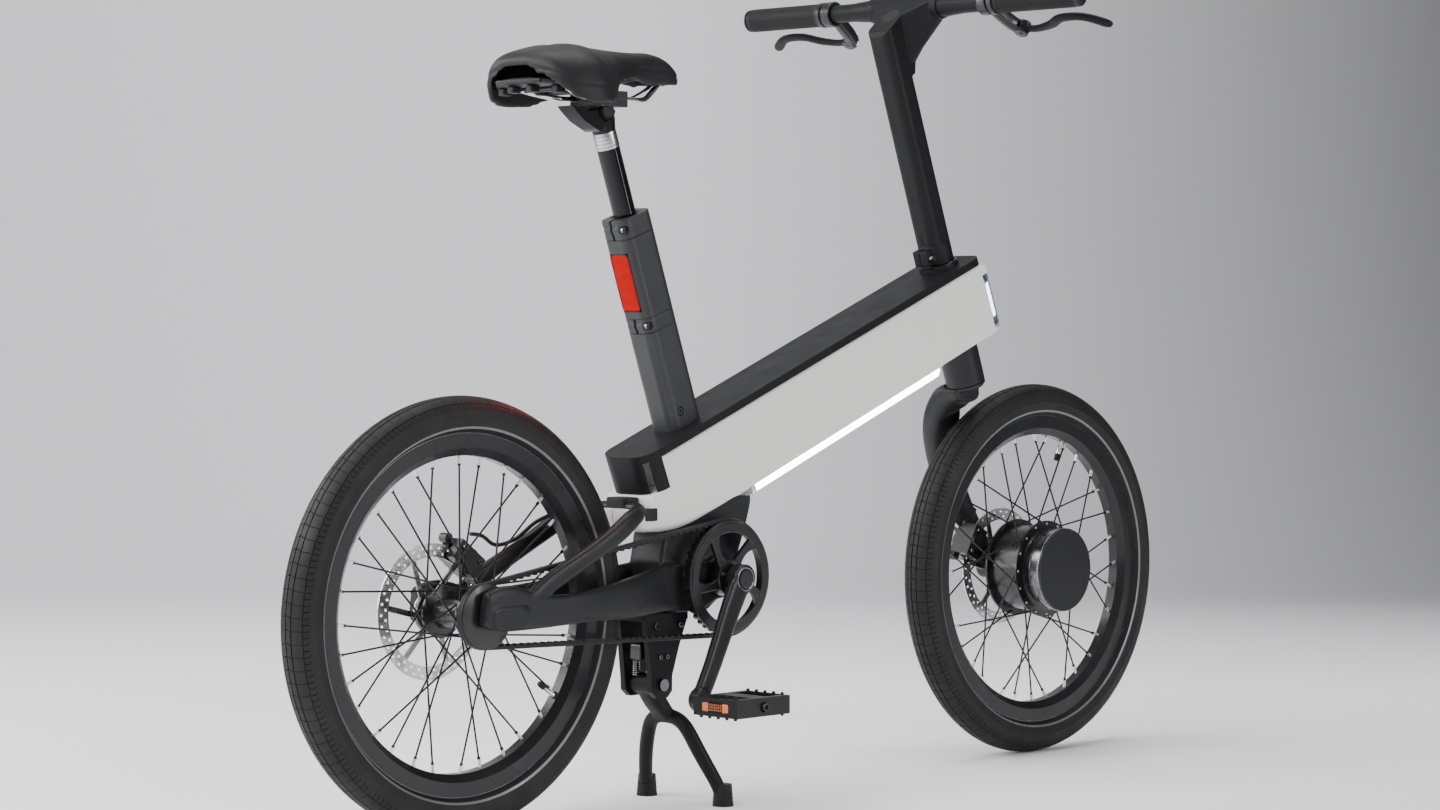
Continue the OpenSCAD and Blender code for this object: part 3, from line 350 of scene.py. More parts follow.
def post_finish(name, color):
    """Polished black tube whose cast head is satin."""
    shader = Shader(name, color, 0.08, coat=0.1)
    head = shader.remap(shader.along((0, 0, 1)), POST_HEAD_Z - 0.004, POST_HEAD_Z)
    shader.vary_color(9, 0.08)
    shader.edges(0.0006, 0.1)
    shader.bump(shader.noise(1400, 3), 0.02, 0.00006)
    smear = shader.remap(shader.noise(30, 5), 0.3, 0.7, -0.02, 0.03)
    shader.link(shader.math("ADD", smear, shader.remap(head, 0, 1, 0.09, 0.5)),
                shader.surface.inputs["Roughness"])
    shader.link(shader.remap(head, 0, 1, 0.22, 0.12), shader.surface.inputs["Specular IOR Level"])
    return shader.material


def make_materials():
    made = {}

    def make(maker, key, *values, name=None, **options):
        made[key] = maker(name or key, *values, **options)

    make(paint, "satin_black", (0.009, 0.0092, 0.0102), 0.46, specular=0.16)
    make(lacquer, "shell_white", (0.82, 0.815, 0.785))
    make(bare_metal, "bare_alloy", (0.50, 0.51, 0.53))
    make(paint, "frame_grey", (0.012, 0.0123, 0.014), 0.40, specular=0.28)
    make(bare_metal, "steel", (0.55, 0.56, 0.58), 0.24)
    make(lamp, "clear_lens", (0.80, 0.90, 1.0), 7.0, cells=40)
    make(lamp, "light_strip", (1.0, 0.985, 0.95), 14.0)
    make(paint, "circuit_green", (0.02, 0.12, 0.05), 0.4)
    make(paint, "battery_wrap", (0.03, 0.06, 0.10), 0.35, 0.3)
    make(paint, "mast_grey", (0.026, 0.027, 0.030), 0.40, specular=0.35)
    make(lamp, "red_lens", (1.0, 0.0, 0.0), 0.5, 0.4, cells=60, cell_dir=(0, 0, 1), gloss=0.04,
         body=(0.2, 0.0, 0.0))
    make(paint, "black_plastic", (0.007, 0.007, 0.0078), 0.48, grain=900.0, strength=0.25,
         specular=0.35)
    make(rubber, "belt_rubber", (0.009, 0.009, 0.010), 0.5)
    make(paint, "caliper_black", (0.009, 0.009, 0.010), 0.34, 0.2, specular=0.4)
    make(post_finish, "gloss_black", (0.004, 0.004, 0.005))
    make(bare_metal, "chrome_rail", (0.80, 0.81, 0.82), 0.08, (30, 30, 30))
    make(leather, "saddle_skin", (0.010, 0.010, 0.011))
    make(rubber, "tyre_black", (0.009, 0.009, 0.0095), 0.58)
    make(paint, "rim_black", (0.010, 0.010, 0.011), 0.30, 0.12, strength=0.04, specular=0.35)
    make(spoke_metal, "spoke_black", FRONT)
    make(paint, "hub_black", (0.008, 0.008, 0.009), 0.30, 0.2)
    make(paint, "cap_grey", (0.011, 0.0113, 0.0125), 0.42, specular=0.3)
    make(rotor_steel, "disc_steel", FRONT)
    make(rubber, "grip_rubber", (0.009, 0.009, 0.010), 0.58)
    make(paint, "crank_grey", (0.012, 0.0123, 0.0135), 0.36, 0.05, specular=0.3)
    make(paint, "stripe", (0.12, 0.123, 0.13), 0.3, 0.2, grain=2600, strength=0.4,
         name="reflective_stripe")
    # Pedal reflectors are no lamp: their faint emission is a painted glow for reflected light
    make(lamp, "amber", (0.60, 0.12, 0.01), 0.12, 0.12, cells=220, cell_dir=(0, 1, 0),
         name="amber_reflector")
    make(glass, "glass", (0.93, 0.96, 1.0), name="clear_cover")
    make(glass, "blue_glass", (0.45, 0.66, 1.0), name="blue_cover")
    make(paint, "dark_gap", (0.004, 0.004, 0.004), 0.7, specular=0.2)
    make(bare_metal, "dark_metal", (0.16, 0.165, 0.175), 0.22)
    made["spoke_rear"] = spoke_metal("spoke_rear", REAR)
    made["rotor_rear"] = rotor_steel("rotor_rear", REAR)
    return made


MATERIALS = make_materials()


def mm(x, y, z):
    return Vector((x, y, z)) * MM


# ---- Mesh helpers ----------------------------------------------------------------------


def place(obj, body, hides=(), slot=None):
    """Joins a finished piece to its CAD body and hides the CAD nodes it stands for."""
    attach(obj, body)
    if hides:
        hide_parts(*hides)
        slot = slot or SLOT_OF[hides[0]]
    return obj


def linked(name, data):
    """A new object in the scene."""
    obj = bpy.data.objects.new(name, data)
    bpy.context.scene.collection.objects.link(obj)
    return obj


def soften(mesh, angle):
    mesh.polygons.foreach_set("use_smooth", [True] * len(mesh.polygons))
    mesh.set_sharp_from_angle(angle=math.radians(angle))


def build(name, verts, faces, looks, body, hides=(), slot=None, angle=35, index=None):
    """Finished piece in the named materials; its slot argument is not used."""
    mesh = bpy.data.meshes.new(name)
    mesh.from_pydata([tuple(v) for v in verts], [], faces)
    for look in looks.split():
        mesh.materials.append(MATERIALS[look])
    if index is not None:
        mesh.polygons.foreach_set("material_index", index)
    mesh.update()
    soften(mesh, angle)
    return place(linked(name, mesh), body, hides,
                 slot or (None if hides else looks.split()[0]))


def skin(loops, closed=True, wrap=False, ends="", flip=False):
    """Vertices and quads over equal loops of points; ends is "", "last" or "both"."""
    n = len(loops[0])
    rows = len(loops)
    verts = [p for loop in loops for p in loop]
    faces = []
    for i in range(rows if wrap else rows - 1):
        a, b = i * n, (i + 1) % rows * n
        for k in range(n if closed else n - 1):
            k2 = (k + 1) % n
            faces.append((a + k, b + k, b + k2, a + k2))
    if ends == "both":
        faces.append(tuple(range(n)))
    if ends:
        faces.append(tuple((rows - 1) * n + k for k in reversed(range(n))))
    if flip:
        faces = [tuple(reversed(f)) for f in faces]
    return verts, faces


class Pile:
    """Several closed shapes gathered into one piece."""

    def __init__(self):
        self.verts = []
        self.faces = []
        self.index = []

    def add(self, shape, index=0):
        verts, faces = shape
        base = len(self.verts)
        self.verts += list(verts)
        self.faces += [tuple(base + k for k in f) for f in faces]
        self.index += [index] * len(faces)
        return self

    def turn(self, at, profile, sides=96, index=0):
        """Adds a body of revolution about the local z of the frame at."""
        return self.add(moved(turned(profile, sides), at), index)

    def make(self, name, looks, body, **options):
        return build(name, self.verts, self.faces, looks, body, index=self.index, **options)


def moved(shape, matrix):
    verts, faces = shape
    return [matrix @ Vector(v) for v in verts], faces


def frame_at(origin, axis, side=(0, 1, 0)):
    """Matrix whose local z is axis and local y is close to side."""
    z = Vector(axis).normalized()
    x = Vector(side).cross(z)
    if x.length < 1e-6:
        x = Vector((1, 0, 0)).cross(z)
    x.normalize()
    y = z.cross(x)
    basis = Matrix((x, y, z)).transposed().to_4x4()
    basis.translation = Vector(origin)
    return basis


def turned(profile, sides=96, start=0.0):
    """Closed body of revolution about local z from closed [radius, z] points, in mm."""
    loops = []
    for k in range(sides):
        a = start + 2 * math.pi * k / sides
        loops.append([mm(r * math.cos(a), r * math.sin(a), z) for r, z in profile])
    return skin(loops, closed=True, wrap=True)


def wheel_frame(center, y=0.0):
    """Local z along +Y, local x forward, at a wheel or crank axis."""
    return frame_at(Vector(center) + Vector((0, y * MM, 0)), (0, 1, 0), (0, 0, 1))


def prism(outline, z0, z1, chamfer=0.0):
    """Extruded outline of [x, y] mm with softened rims."""
    def inset(points, d):
        n = len(points)
        out = []
        for k in range(n):
            p = Vector(points[k])
            a = (p - Vector(points[k - 1])).normalized()
            b = (Vector(points[(k + 1) % n]) - p).normalized()
            normal = Vector((-(a.y + b.y), a.x + b.x))
            size = max(0.35, normal.length / 2)
            out.append(p + normal.normalized() * d / size)
        return out
    levels = [(z0, chamfer), (z0 + chamfer, 0), (z1 - chamfer, 0), (z1, chamfer)]
    if chamfer <= 0:
        levels = [(z0, 0), (z1, 0)]
    loops = []
    for z, d in levels:
        points = inset(outline, d) if d else [Vector(p) for p in outline]
        loops.append([mm(p[0], p[1], z) for p in points])
    return skin(loops, ends="both", flip=True)


def rounded_box(w, h, r, x=0.0, y=0.0, steps=6):
    """Outline of a rounded rectangle, anticlockwise."""
    points = []
    for sx, sy, a0 in ((1, 1, 0), (-1, 1, 90), (-1, -1, 180), (1, -1, 270)):
        for k in range(steps + 1):
            a = math.radians(a0 + 90 * k / steps)
            points.append((x + sx * (w / 2 - r) + r * math.cos(a),
                           y + sy * (h / 2 - r) + r * math.sin(a)))
    return points


def socket_head(d, height=None, sides=36):
    """Socket-head bolt standing on local z = 0, with a chamfered rim and hexagon recess."""
    r = d * 0.85
    h = height or d * 0.8
    key = d * 0.5
    rings = [(r, 0, 0), (r, h * 0.86, 0), (r * 0.92, h, 0), (key * 1.18, h, 0), (key, h, 1),
             (key * 0.98, h * 0.4, 1)]
    loops = []
    for radius, z, hexed in rings:
        loop = []
        for k in range(sides):
            a = 2 * math.pi * k / sides
            if hexed:
                part = (a + math.pi / 6) % (math.pi / 3) - math.pi / 6
                rr = radius * 0.92 / math.cos(part)
            else:
                rr = radius
            loop.append(mm(rr * math.cos(a), rr * math.sin(a), z))
        loops.append(loop)
    return skin(loops, ends="both", flip=True)


def bolts(name, spots, body, material="dark_metal", slot="steel"):
    """Bolt heads at (point, outward axis, thread size in mm)."""
    pile = Pile()
    for point, axis, d in spots:
        pile.add(moved(socket_head(d), frame_at(point, axis)))
    return pile.make(name, material, body, slot=slot, angle=40)


def smooth_path(knots, steps=8):
    """Catmull-Rom points through knots."""
    p = [np.array(k, float) for k in knots]
    out = []
    for i in range(len(p) - 1):
        a, b, c, d = p[max(i - 1, 0)], p[i], p[i + 1], p[min(i + 2, len(p) - 1)]
        for k in range(steps):
            t = k / steps
            out.append(0.5 * (2 * b + (c - a) * t + (2 * a - 5 * b + 4 * c - d) * t * t
                              + (3 * b - a - 3 * c + d) * t ** 3))
    out.append(p[-1])
    return [Vector(q) for q in out]


def pipe(points, radii, sides=16):
    """Round tube along points in metres; radii in mm, one or one per point."""
    if isinstance(radii, (int, float)):
        radii = [radii] * len(points)
    loops = []
    side = None
    for i, p in enumerate(points):
        ahead = points[min(i + 1, len(points) - 1)] - points[max(i - 1, 0)]
        ahead.normalize()
        if side is None:
            side = ahead.orthogonal().normalized()
        side = (side - ahead * side.dot(ahead)).normalized()
        up = ahead.cross(side)
        loops.append([p + (side * math.cos(2 * math.pi * k / sides)
                           + up * math.sin(2 * math.pi * k / sides)) * radii[i] * MM
                      for k in range(sides)])
    return skin(loops, ends="both", flip=True)


def hose(name, knots, radius, body):
    """Rubber hose through points in mm."""
    shape = pipe(smooth_path([mm(*p) for p in knots]), radius)
    return build(name, *shape, "grip_rubber", body, slot="black_plastic")


def mesh_of(obj):
    """The object's mesh with its modifiers applied."""
    graph = bpy.context.evaluated_depsgraph_get()
    return bpy.data.meshes.new_from_object(obj.evaluated_get(graph))


def forged(node, voxel=1.6, rounds=8, factor=0.5, also=(), look=None):
    """A softly blended copy of CAD nodes: cast and forged parts have no crisp joins."""
    nodes = (node, *also)
    pile = Pile()
    for n in nodes:
        mesh = NODES[n].data
        pile.add(([v.co.copy() for v in mesh.vertices], [tuple(p.vertices) for p in mesh.polygons]))
    mesh = bpy.data.meshes.new(node + "_forged")
    mesh.from_pydata(pile.verts, [], pile.faces)
    obj = linked(node + "_forged", mesh)
    obj.modifiers.new("weld", "WELD").merge_threshold = 1e-5
    remesh = obj.modifiers.new("remesh", "REMESH")
    remesh.mode = "VOXEL"
    remesh.voxel_size = voxel * MM
    soft = obj.modifiers.new("soft", "SMOOTH")
    soft.factor = factor
    soft.iterations = rounds
    mesh = mesh_of(obj)
    obj.modifiers.clear()
    obj.data = mesh
    mesh.materials.clear()
    mesh.materials.append(MATERIALS[look or SLOT_OF[node]])
    soften(mesh, 60)
    return place(obj, BODY_OF[node], nodes)


def dress(node, material, angle=32):
    """Material and smooth shading for a CAD node that is shown as it is."""
    obj = NODES[node]
    mesh = obj.data
    mesh.materials.clear()
    mesh.materials.append(material)
    mesh.polygons.foreach_set("material_index", [0] * len(mesh.polygons))
    mesh.polygons.foreach_set("use_smooth", [True] * len(mesh.polygons))
    if "custom_normal" in mesh.attributes:
        mesh.attributes.remove(mesh.attributes["custom_normal"])
    obj.modifiers.new("weld", "WELD").merge_threshold = 1e-5
    split = obj.modifiers.new("split", "EDGE_SPLIT")
    split.split_angle = math.radians(angle)
    obj.modifiers.new("weighted", "WEIGHTED_NORMAL")


def dress_all():
    special = {"rear_spokes": "spoke_rear", "rear_disc": "rotor_rear",
               "frame_bolts": "dark_metal", "saddle_clamp": "caliper_black",
               "lever_left": "satin_black", "lever_right": "satin_black"}
    for node in NODES:
        dress(node, MATERIALS[special.get(node, SLOT_OF[node])])


# Points in the tilted frames, from millimetres to metres


def on_beam(s, y, n):
    """s up the beam, y across, n square to the top face."""
    c, d = math.cos(BEAM_ANGLE), math.sin(BEAM_ANGLE)
    return mm(s * c - n * d, y, BEAM_TOP + s * d + n * c)


def on_axis(origin, axis, forward, y, up):
    """Point at forward, y, up in a frame whose up is axis and whose y is +Y."""
    ahead = Vector((0, 1, 0)).cross(axis)
    return origin + (ahead * forward + Vector((0, 1, 0)) * y + axis * up) * MM


def on_mast(forward, y, up):
    return on_axis(MAST_FOOT, MAST_AXIS, forward, y, up)


def on_head(forward, y, up):
    return on_axis(STEER, STEER_AXIS, forward, y, up)


# ---- Wheels ----------------------------------------------------------------------------

TYRE_MID = 228.0
TYRE_SECTION = 25.0
PITCHES = 106
# Rows across half the tyre: angle from the crown, groove depth, depth at whole-pitch
# sipes and at half-pitch sipes, all depths in mm
TREAD_ROWS = (
    (0.0, 1.3, 1.3, 1.3), (1.1, 1.3, 1.3, 1.3), (1.9, 0, 1.4, 0), (6, 0, 1.5, 0), (11, 0, 1.5, 0),
    (16.2, 0, 1.4, 0), (17.0, 1.2, 1.2, 1.2), (18.6, 1.2, 1.2, 1.2), (19.4, 0, 0.7, 0),
    (25, 0, 0.7, 0), (31, 0, 0.7, 0), (37, 0, 0.7, 0), (43, 0, 0.7, 0), (47.6, 0, 0.7, 0),
    (48.4, 0.9, 0.9, 0.9), (49.8, 0.9, 0.9, 0.9), (50.6, 0, 1.1, 1.1), (57, 0, 1.1, 1.1),
    (63, 0, 1.0, 1.0), (67.5, 0, 0.9, 0.9), (69.5, 0, 0, 0), (72, 0.15, 0.15, 0.15),
    (79, 0.3, 0.3, 0.3), (87, 0.3, 0.3, 0.3), (88.5, 0, 0, 0), (90.5, 0, 0, 0),
    (92, 0.3, 0.3, 0.3), (100, 0.3, 0.3, 0.3), (107, 0.3, 0.3, 0.3), (113, 0.3, 0.3, 0.3),
    (114.5, 0.1, 0.1, 0.1), (121.5, 0.1, 0.1, 0.1), (123, 0.5, 0.5, 0.5), (128, 0.6, 0.6, 0.6))
STRIPE_ROWS = (114.4, 121.6)
# Columns in one pitch: place and kind (0 land, 1 whole-pitch sipe, 2 half-pitch sipe)
TREAD_COLUMNS = ((0.0, 0), (0.035, 1), (0.07, 0), (0.285, 0), (0.5, 0), (0.535, 2), (0.57, 0),
                 (0.785, 0))
# Slant of the tread joints, radians round the wheel
CHEVRON = 0.011


def tyre_rows():
    rows = [(-a, *d) for a, *d in reversed(TREAD_ROWS[1:])] + list(TREAD_ROWS)
    bead = [(9.0, 208.0), (-9.0, 208.0)]
    return rows, bead


def tyre(name, center, body, node):
    """Street tyre: two centre ribs with slanted joints, siped shoulders and side blocks."""
    rows, bead = tyre_rows()
    pitch = 2 * math.pi / PITCHES
    cross = []
    for angle, groove, whole, half in rows:
        a = math.radians(angle)
        cross.append((a, (groove, max(groove, whole), max(groove, half))))
    verts, loops = [], PITCHES * len(TREAD_COLUMNS)
    width = len(rows) + len(bead)
    for p in range(PITCHES):
        for part, kind in TREAD_COLUMNS:
            for a, depths in cross:
                fade = min(1.0, max(0.0, (1.22 - abs(a)) / 0.1))
                lean = CHEVRON * abs(a) / 0.3 * fade
                if abs(a) > 0.34:
                    lean = CHEVRON * 1.1 * fade
                turn = (p + part) * pitch + lean
                rho = TYRE_SECTION - depths[kind]
                r = TYRE_MID + rho * math.cos(a)
                verts.append((center.x + r * math.cos(turn) * MM, rho * math.sin(a) * MM,
                              center.z + r * math.sin(turn) * MM))
            for y, r in bead:
                turn = (p + part) * pitch
                verts.append((center.x + r * math.cos(turn) * MM, y * MM,
                              center.z + r * math.sin(turn) * MM))
    faces, index = [], []
    edges = [math.degrees(c[0]) for c in cross]
    for i in range(loops):
        a, b = i * width, (i + 1) % loops * width
        for k in range(width):
            k2 = (k + 1) % width
            faces.append((a + k, a + k2, b + k2, b + k))
            inside = k + 1 < len(edges) and all(
                STRIPE_ROWS[0] <= abs(e) <= STRIPE_ROWS[1] for e in edges[k:k + 2])
            index.append(1 if inside else 0)
    build(name, verts, faces, "tyre_black stripe", body, (node,), angle=28, index=index)


def valve(name, center, turn, body):
    """Inner-tube valve with its knurled cap, pointing at the hub."""
    d = Vector((math.cos(turn), 0, math.sin(turn)))
    start = center + d * 0.1865
    stem = turned([(0, 0), (3.4, 0), (3.4, 6), (2.7, 7), (2.7, 22), (0, 22)], 24)
    cap = turned([(0, 21), (3.6, 21.3), (3.6, 29), (2.6, 31), (0, 31)], 12)
    pile = Pile().add(moved(stem, frame_at(start, -d)), 0).add(moved(cap, frame_at(start, -d)), 1)
    pile.make(name, "steel grip_rubber", body, slot="steel")


def spoke_heads(name, center, r, rows, count, body):
    """Domed spoke elbows on the hub flanges."""
    pile = Pile()
    head = turned([(0, 0), (1.9, 0), (1.9, 0.7), (1.2, 1.5), (0, 1.8)], 14)
    for y, side in rows:
        for k in range(count):
            a = 2 * math.pi * (k + (0 if side < 0 else 0.5)) / count
            spot = center + mm(math.cos(a) * r, y, math.sin(a) * r)
            pile.add(moved(head, frame_at(spot, (0, side, 0), (0, 0, 1))))
    pile.make(name, "steel", body, slot="steel")


def rim_seams(name, center, body):
    """Thin edge rings on both rim walls, under the tyre's bead."""
    pile = Pile()
    for side in (-1, 1):
        profile = [(209.9, 15.02 * side), (210.6, 15.02 * side), (210.6, 14.6 * side),
                   (209.9, 14.6 * side)]
        pile.turn(wheel_frame(center), profile, 192)
    pile.make(name, "dark_metal", body, slot="rim_black")


def bolt_circle(center, r, y, size, count=6, phase=0.5):
    """Rows of (point, axis, size) for bolts on a circle round a wheel's axis, facing +Y."""
    turns = [2 * math.pi * (k + phase) / count for k in range(count)]
    return [(center + mm(r * math.cos(a), y, r * math.sin(a)), (0, 1, 0), size) for a in turns]


def front_hub():
    """Bright trim ring, polished band and bolts on the hub motor."""
    at = wheel_frame(FRONT)
    pile = Pile()
    pile.turn(at, [(54.4, -57.0), (56.3, -57.0), (56.4, -58.6), (55.6, -59.3), (54.4, -59.3)],
              128)
    pile.turn(at, [(55.6, -56.9), (56.35, -56.9), (56.35, -43.4), (56.0, -42.6), (55.6, -42.6)],
              128, 2)
    pile.turn(at, [(55.9, -57.0), (56.9, -57.0), (57.05, -56.5), (56.9, -56.0), (55.9, -56.0)],
              128, 1)
    pile.make("hub_motor_rings", "hub_black bare_alloy dark_metal", "front_wheel")
    bolts("front_disc_bolts", bolt_circle(FRONT, DISC_BOLT_R, 56.7, 3.6), "front_wheel")
    spoke_heads("front_spoke_heads", FRONT, 61.5, ((-26.4, -1), (27.4, 1)), 16, "front_wheel")


def rear_hub():
    pile = Pile()
    for point, axis, d in bolt_circle(REAR, DISC_BOLT_R, 49.9, 3.0):
        pile.add(moved(socket_head(d, 1.2), frame_at(point, axis)))
    pile.make("rear_disc_bolts", "steel", "rear_wheel", angle=40)
    spoke_heads("rear_spoke_heads", REAR, 26.5, ((-30.5, -1), (30.5, 1)), 16, "rear_wheel")


def make_wheels():
    tyre("front_tyre_tread", FRONT, "front_wheel", "front_tyre")
    tyre("rear_tyre_tread", REAR, "rear_wheel", "rear_tyre")
    valve("front_valve", FRONT, math.radians(70), "front_wheel")
    valve("rear_valve", REAR, math.radians(-35), "rear_wheel")
    rim_seams("front_rim_edges", FRONT, "front_wheel")
    rim_seams("rear_rim_edges", REAR, "rear_wheel")
    front_hub()
    rear_hub()


# ---- Main beam -------------------------------------------------------------------------

def beam_point(s, n):
    p = on_beam(s, 0, n) / MM
    return p.x, p.z


def arc(cx, cz, r, a0, a1, steps):
    return [(cx + r * math.cos(math.radians(a0 + (a1 - a0) * k / steps)),
             cz + r * math.sin(math.radians(a0 + (a1 - a0) * k / steps)))
            for k in range(steps + 1)]


def shell_outline():
    """Side outline [x, z, rounding] of a shell, anticlockwise from the tail's lower corner."""
    tail_x, tail_z, tail_r, bend_r = -278.0, 337.3, 22.0, 190.0
    slope = math.tan(BEAM_ANGLE)
    corner = (tail_z - BEAM_TOP + BEAM_H / math.cos(BEAM_ANGLE)) / slope
    bend = corner - bend_r * math.tan(BEAM_ANGLE / 2)
    points = [(x, z, 9.0) for x, z in arc(tail_x + tail_r, tail_z + tail_r, tail_r, 180, 270, 10)]
    points += [(x, tail_z, 9.0) for x in np.linspace(tail_x + tail_r + 6, bend - 4, 3)]
    turn = math.degrees(BEAM_ANGLE)
    points += [(x, z, 8.0) for x, z in arc(bend, tail_z + bend_r, bend_r, -90, -90 + turn, 12)]
    points += [(*beam_point(s, -BEAM_H), 5.0) for s in (-180, -160)]
    points += [(*beam_point(s, -BEAM_H), 1.6) for s in np.linspace(-148, 262, 10)]
    points += [(*beam_point(s, -BEAM_H), 5.0) for s in (276, 330, 376)]
    cx, cz = beam_point(390, -BEAM_H + 9.6)
    points += [(x, z, 5.0) for x, z in arc(cx, cz, 9.6, -90 + turn, turn - 12, 7)]
    points += [(*beam_point(400, -98.2), 1.2), (*beam_point(388.2, -98.2), 1.2)]
    points += [(*beam_point(388.2, n), 1.2) for n in (-80, -60, -40)]
    points += [(*beam_point(388.2, -26.8), 1.2), (*beam_point(399.6, -26.8), 1.2)]
    points += [(*beam_point(399.6, -16), 3.0), (*beam_point(396, -11.2), 4.0),
               (*beam_point(390, -DECK_T - 0.2), 4.0)]
    points += [(*beam_point(s, -DECK_T - 0.2), 4.0) for s in np.linspace(370, -240, 14)]
    points += [(*beam_point(-256.6, -DECK_T - 0.2), 2.0), (*beam_point(-256.6, -20), 1.2),
               (*beam_point(-256.6, -40), 1.2), (*beam_point(-256.6, -50.4), 1.2)]
    points += [(-249.6, 380.6, 1.2), (-249.6, 372, 1.2), (-249.6, 366.2, 1.2)]
    points += [(-262, 366.2, 1.2), (-271, 366.2, 2.0), (-278, 364, 5.0)]
    return points


def inset_outline(points, share):
    """Moves each outline point inwards by share of its own rounding."""
    n = len(points)
    out = []
    for k in range(n):
        p = Vector(points[k][:2])
        a = p - Vector(points[k - 1][:2])
        b = Vector(points[(k + 1) % n][:2]) - p
        a = a.normalized() if a.length > 1e-6 else b.normalized()
        b = b.normalized() if b.length > 1e-6 else a
        normal = Vector((-(a.y + b.y), a.x + b.x))
        size = max(0.5, normal.length / 2)
        d = points[k][2] * share / size
        out.append(p + normal.normalized() * d)
    return out


def side_shell(name, side, node):
    """One pale side cover: a flat panel whose edges roll over by a different radius."""
    outline = shell_outline()
    steps = 7
    loops = [[Vector((x * MM, side * 0.0004, z * MM)) for x, z, _ in outline]]
    for k in range(steps + 1):
        a = math.pi / 2 * k / steps
        inner = inset_outline(outline, 1 - math.cos(a))
        loops.append([mm(p.x, side * (BEAM_HALF - r + r * math.sin(a)), p.y)
                      for p, (_, _, r) in zip(inner, outline)])
    # A flat ring inside the rounding keeps the panel's shading even
    flat = inset_outline([(x, z, r + 1.5) for x, z, r in outline], 1)
    loops.append([mm(p.x, side * BEAM_HALF, p.y) for p in flat])
    verts, faces = skin(loops, ends="last", flip=side > 0)
    obj = build(name, verts, faces, "shell_white", "frame", (node,), angle=50)
    obj.modifiers.new("weighted", "WEIGHTED_NORMAL").keep_sharp = True


def light_strips():
    """Glowing light guides hung under the lower edges, closed by clear pointed lenses."""
    top = -BEAM_H - 0.3
    glow = [(-118, top), (-118, top - 8), (256, top - 8), (261.5, top - 2), (261.5, top)]
    lens = [(-149.5, top), (-134, top - 7), (-118.3, top - 8.2), (-118.3, top)]
    pile = Pile()
    for side in (-1, 1):
        for outline, material in ((glow, 0), (lens, 1)):
            mid_s = sum(p[0] for p in outline) / len(outline)
            loops = []
            for y, shrink in ((33.7, 0), (39.2, 0), (40.1, 0.5), (40.35, 1.2)):
                loops.append([on_beam(s - shrink * (1 if s > mid_s else -1), side * y,
                                      n + (shrink if n < top - 1 else 0)) for s, n in outline])
            pile.add(skin(loops, ends="both", flip=side < 0), material)
    pile.make("light_guides", "light_strip glass", "frame", hides=("led_strips",), angle=30)


def headlight():
    """Wrap-round front light: a frosted glowing bar behind a clear cover with dark frames."""
    def wrap(front, half, corner, n0, n1, depth):
        outline = [(388.4, -half), (front - corner, -half)]
        outline += [(front - corner + corner * math.sin(a), -half + corner - corner * math.cos(a))
                    for a in np.linspace(0.2, math.pi / 2, 6)]
        outline += [(front - corner + corner * math.cos(a), half - corner + corner * math.sin(a))
                    for a in np.linspace(0, math.pi / 2, 7)]
        outline += [(388.4, half), (388.4, half - depth), (front - depth, half - depth),
                    (front - depth, -half + depth), (388.4, -half + depth)]
        loops = [[on_beam(s, y, n) for s, y in outline] for n in (n0, n1)]
        return skin(loops, ends="both", flip=True)
    pile = Pile()
    pile.add(wrap(401.0, 40.5, 10, -91, -34, 1.6), 1)
    pile.add(wrap(399.0, 38.6, 9, -86, -39, 2.4), 0)
    for n0, n1 in ((-97.6, -91), (-34, -27.4)):
        pile.add(wrap(401.0, 40.5, 10, n0, n1, 1.6), 3)
    for n0, n1 in ((-97.4, -86.6), (-38.4, -27.6)):
        pile.add(wrap(399.2, 38.8, 9, n0, n1, 3.0), 2)
    pile.make("headlight", "clear_lens glass dark_gap blue_glass", "frame",
              hides=("headlight_lens",), angle=30)


def deck_details():
    """Thin rounded line round the deck's upper edge and the joint before the rear cap."""
    pile = Pile()
    for side in (-1, 1):
        knots = [on_beam(s, side * 40.55, -0.45) for s in np.linspace(-255, 384, 12)]
        pile.add(pipe(knots, 0.45, 8))
    turns = np.linspace(0.5 * math.pi, 1.5 * math.pi, 24)
    rear = [on_beam(-260 + 25.6 * math.cos(a), 15 * math.copysign(1, math.sin(a))
                    + 25.55 * math.sin(a), -0.45) for a in turns]
    pile.add(pipe(rear, 0.45, 8))
    pile.make("deck_edge_line", "satin_black", "frame")


def make_beam():
    side_shell("shell_right_skin", -1, "shell_right")
    side_shell("shell_left_skin", 1, "shell_left")
    light_strips()
    headlight()
    deck_details()


# ---- Seat mast -------------------------------------------------------------------------

MAST_W = 44.0
MAST_L = 54.0
# Tail light lens: height, width and middle above the mast's foot
LENS_H, LENS_W, LENS_UP = 71.0, 27.4, 191.2


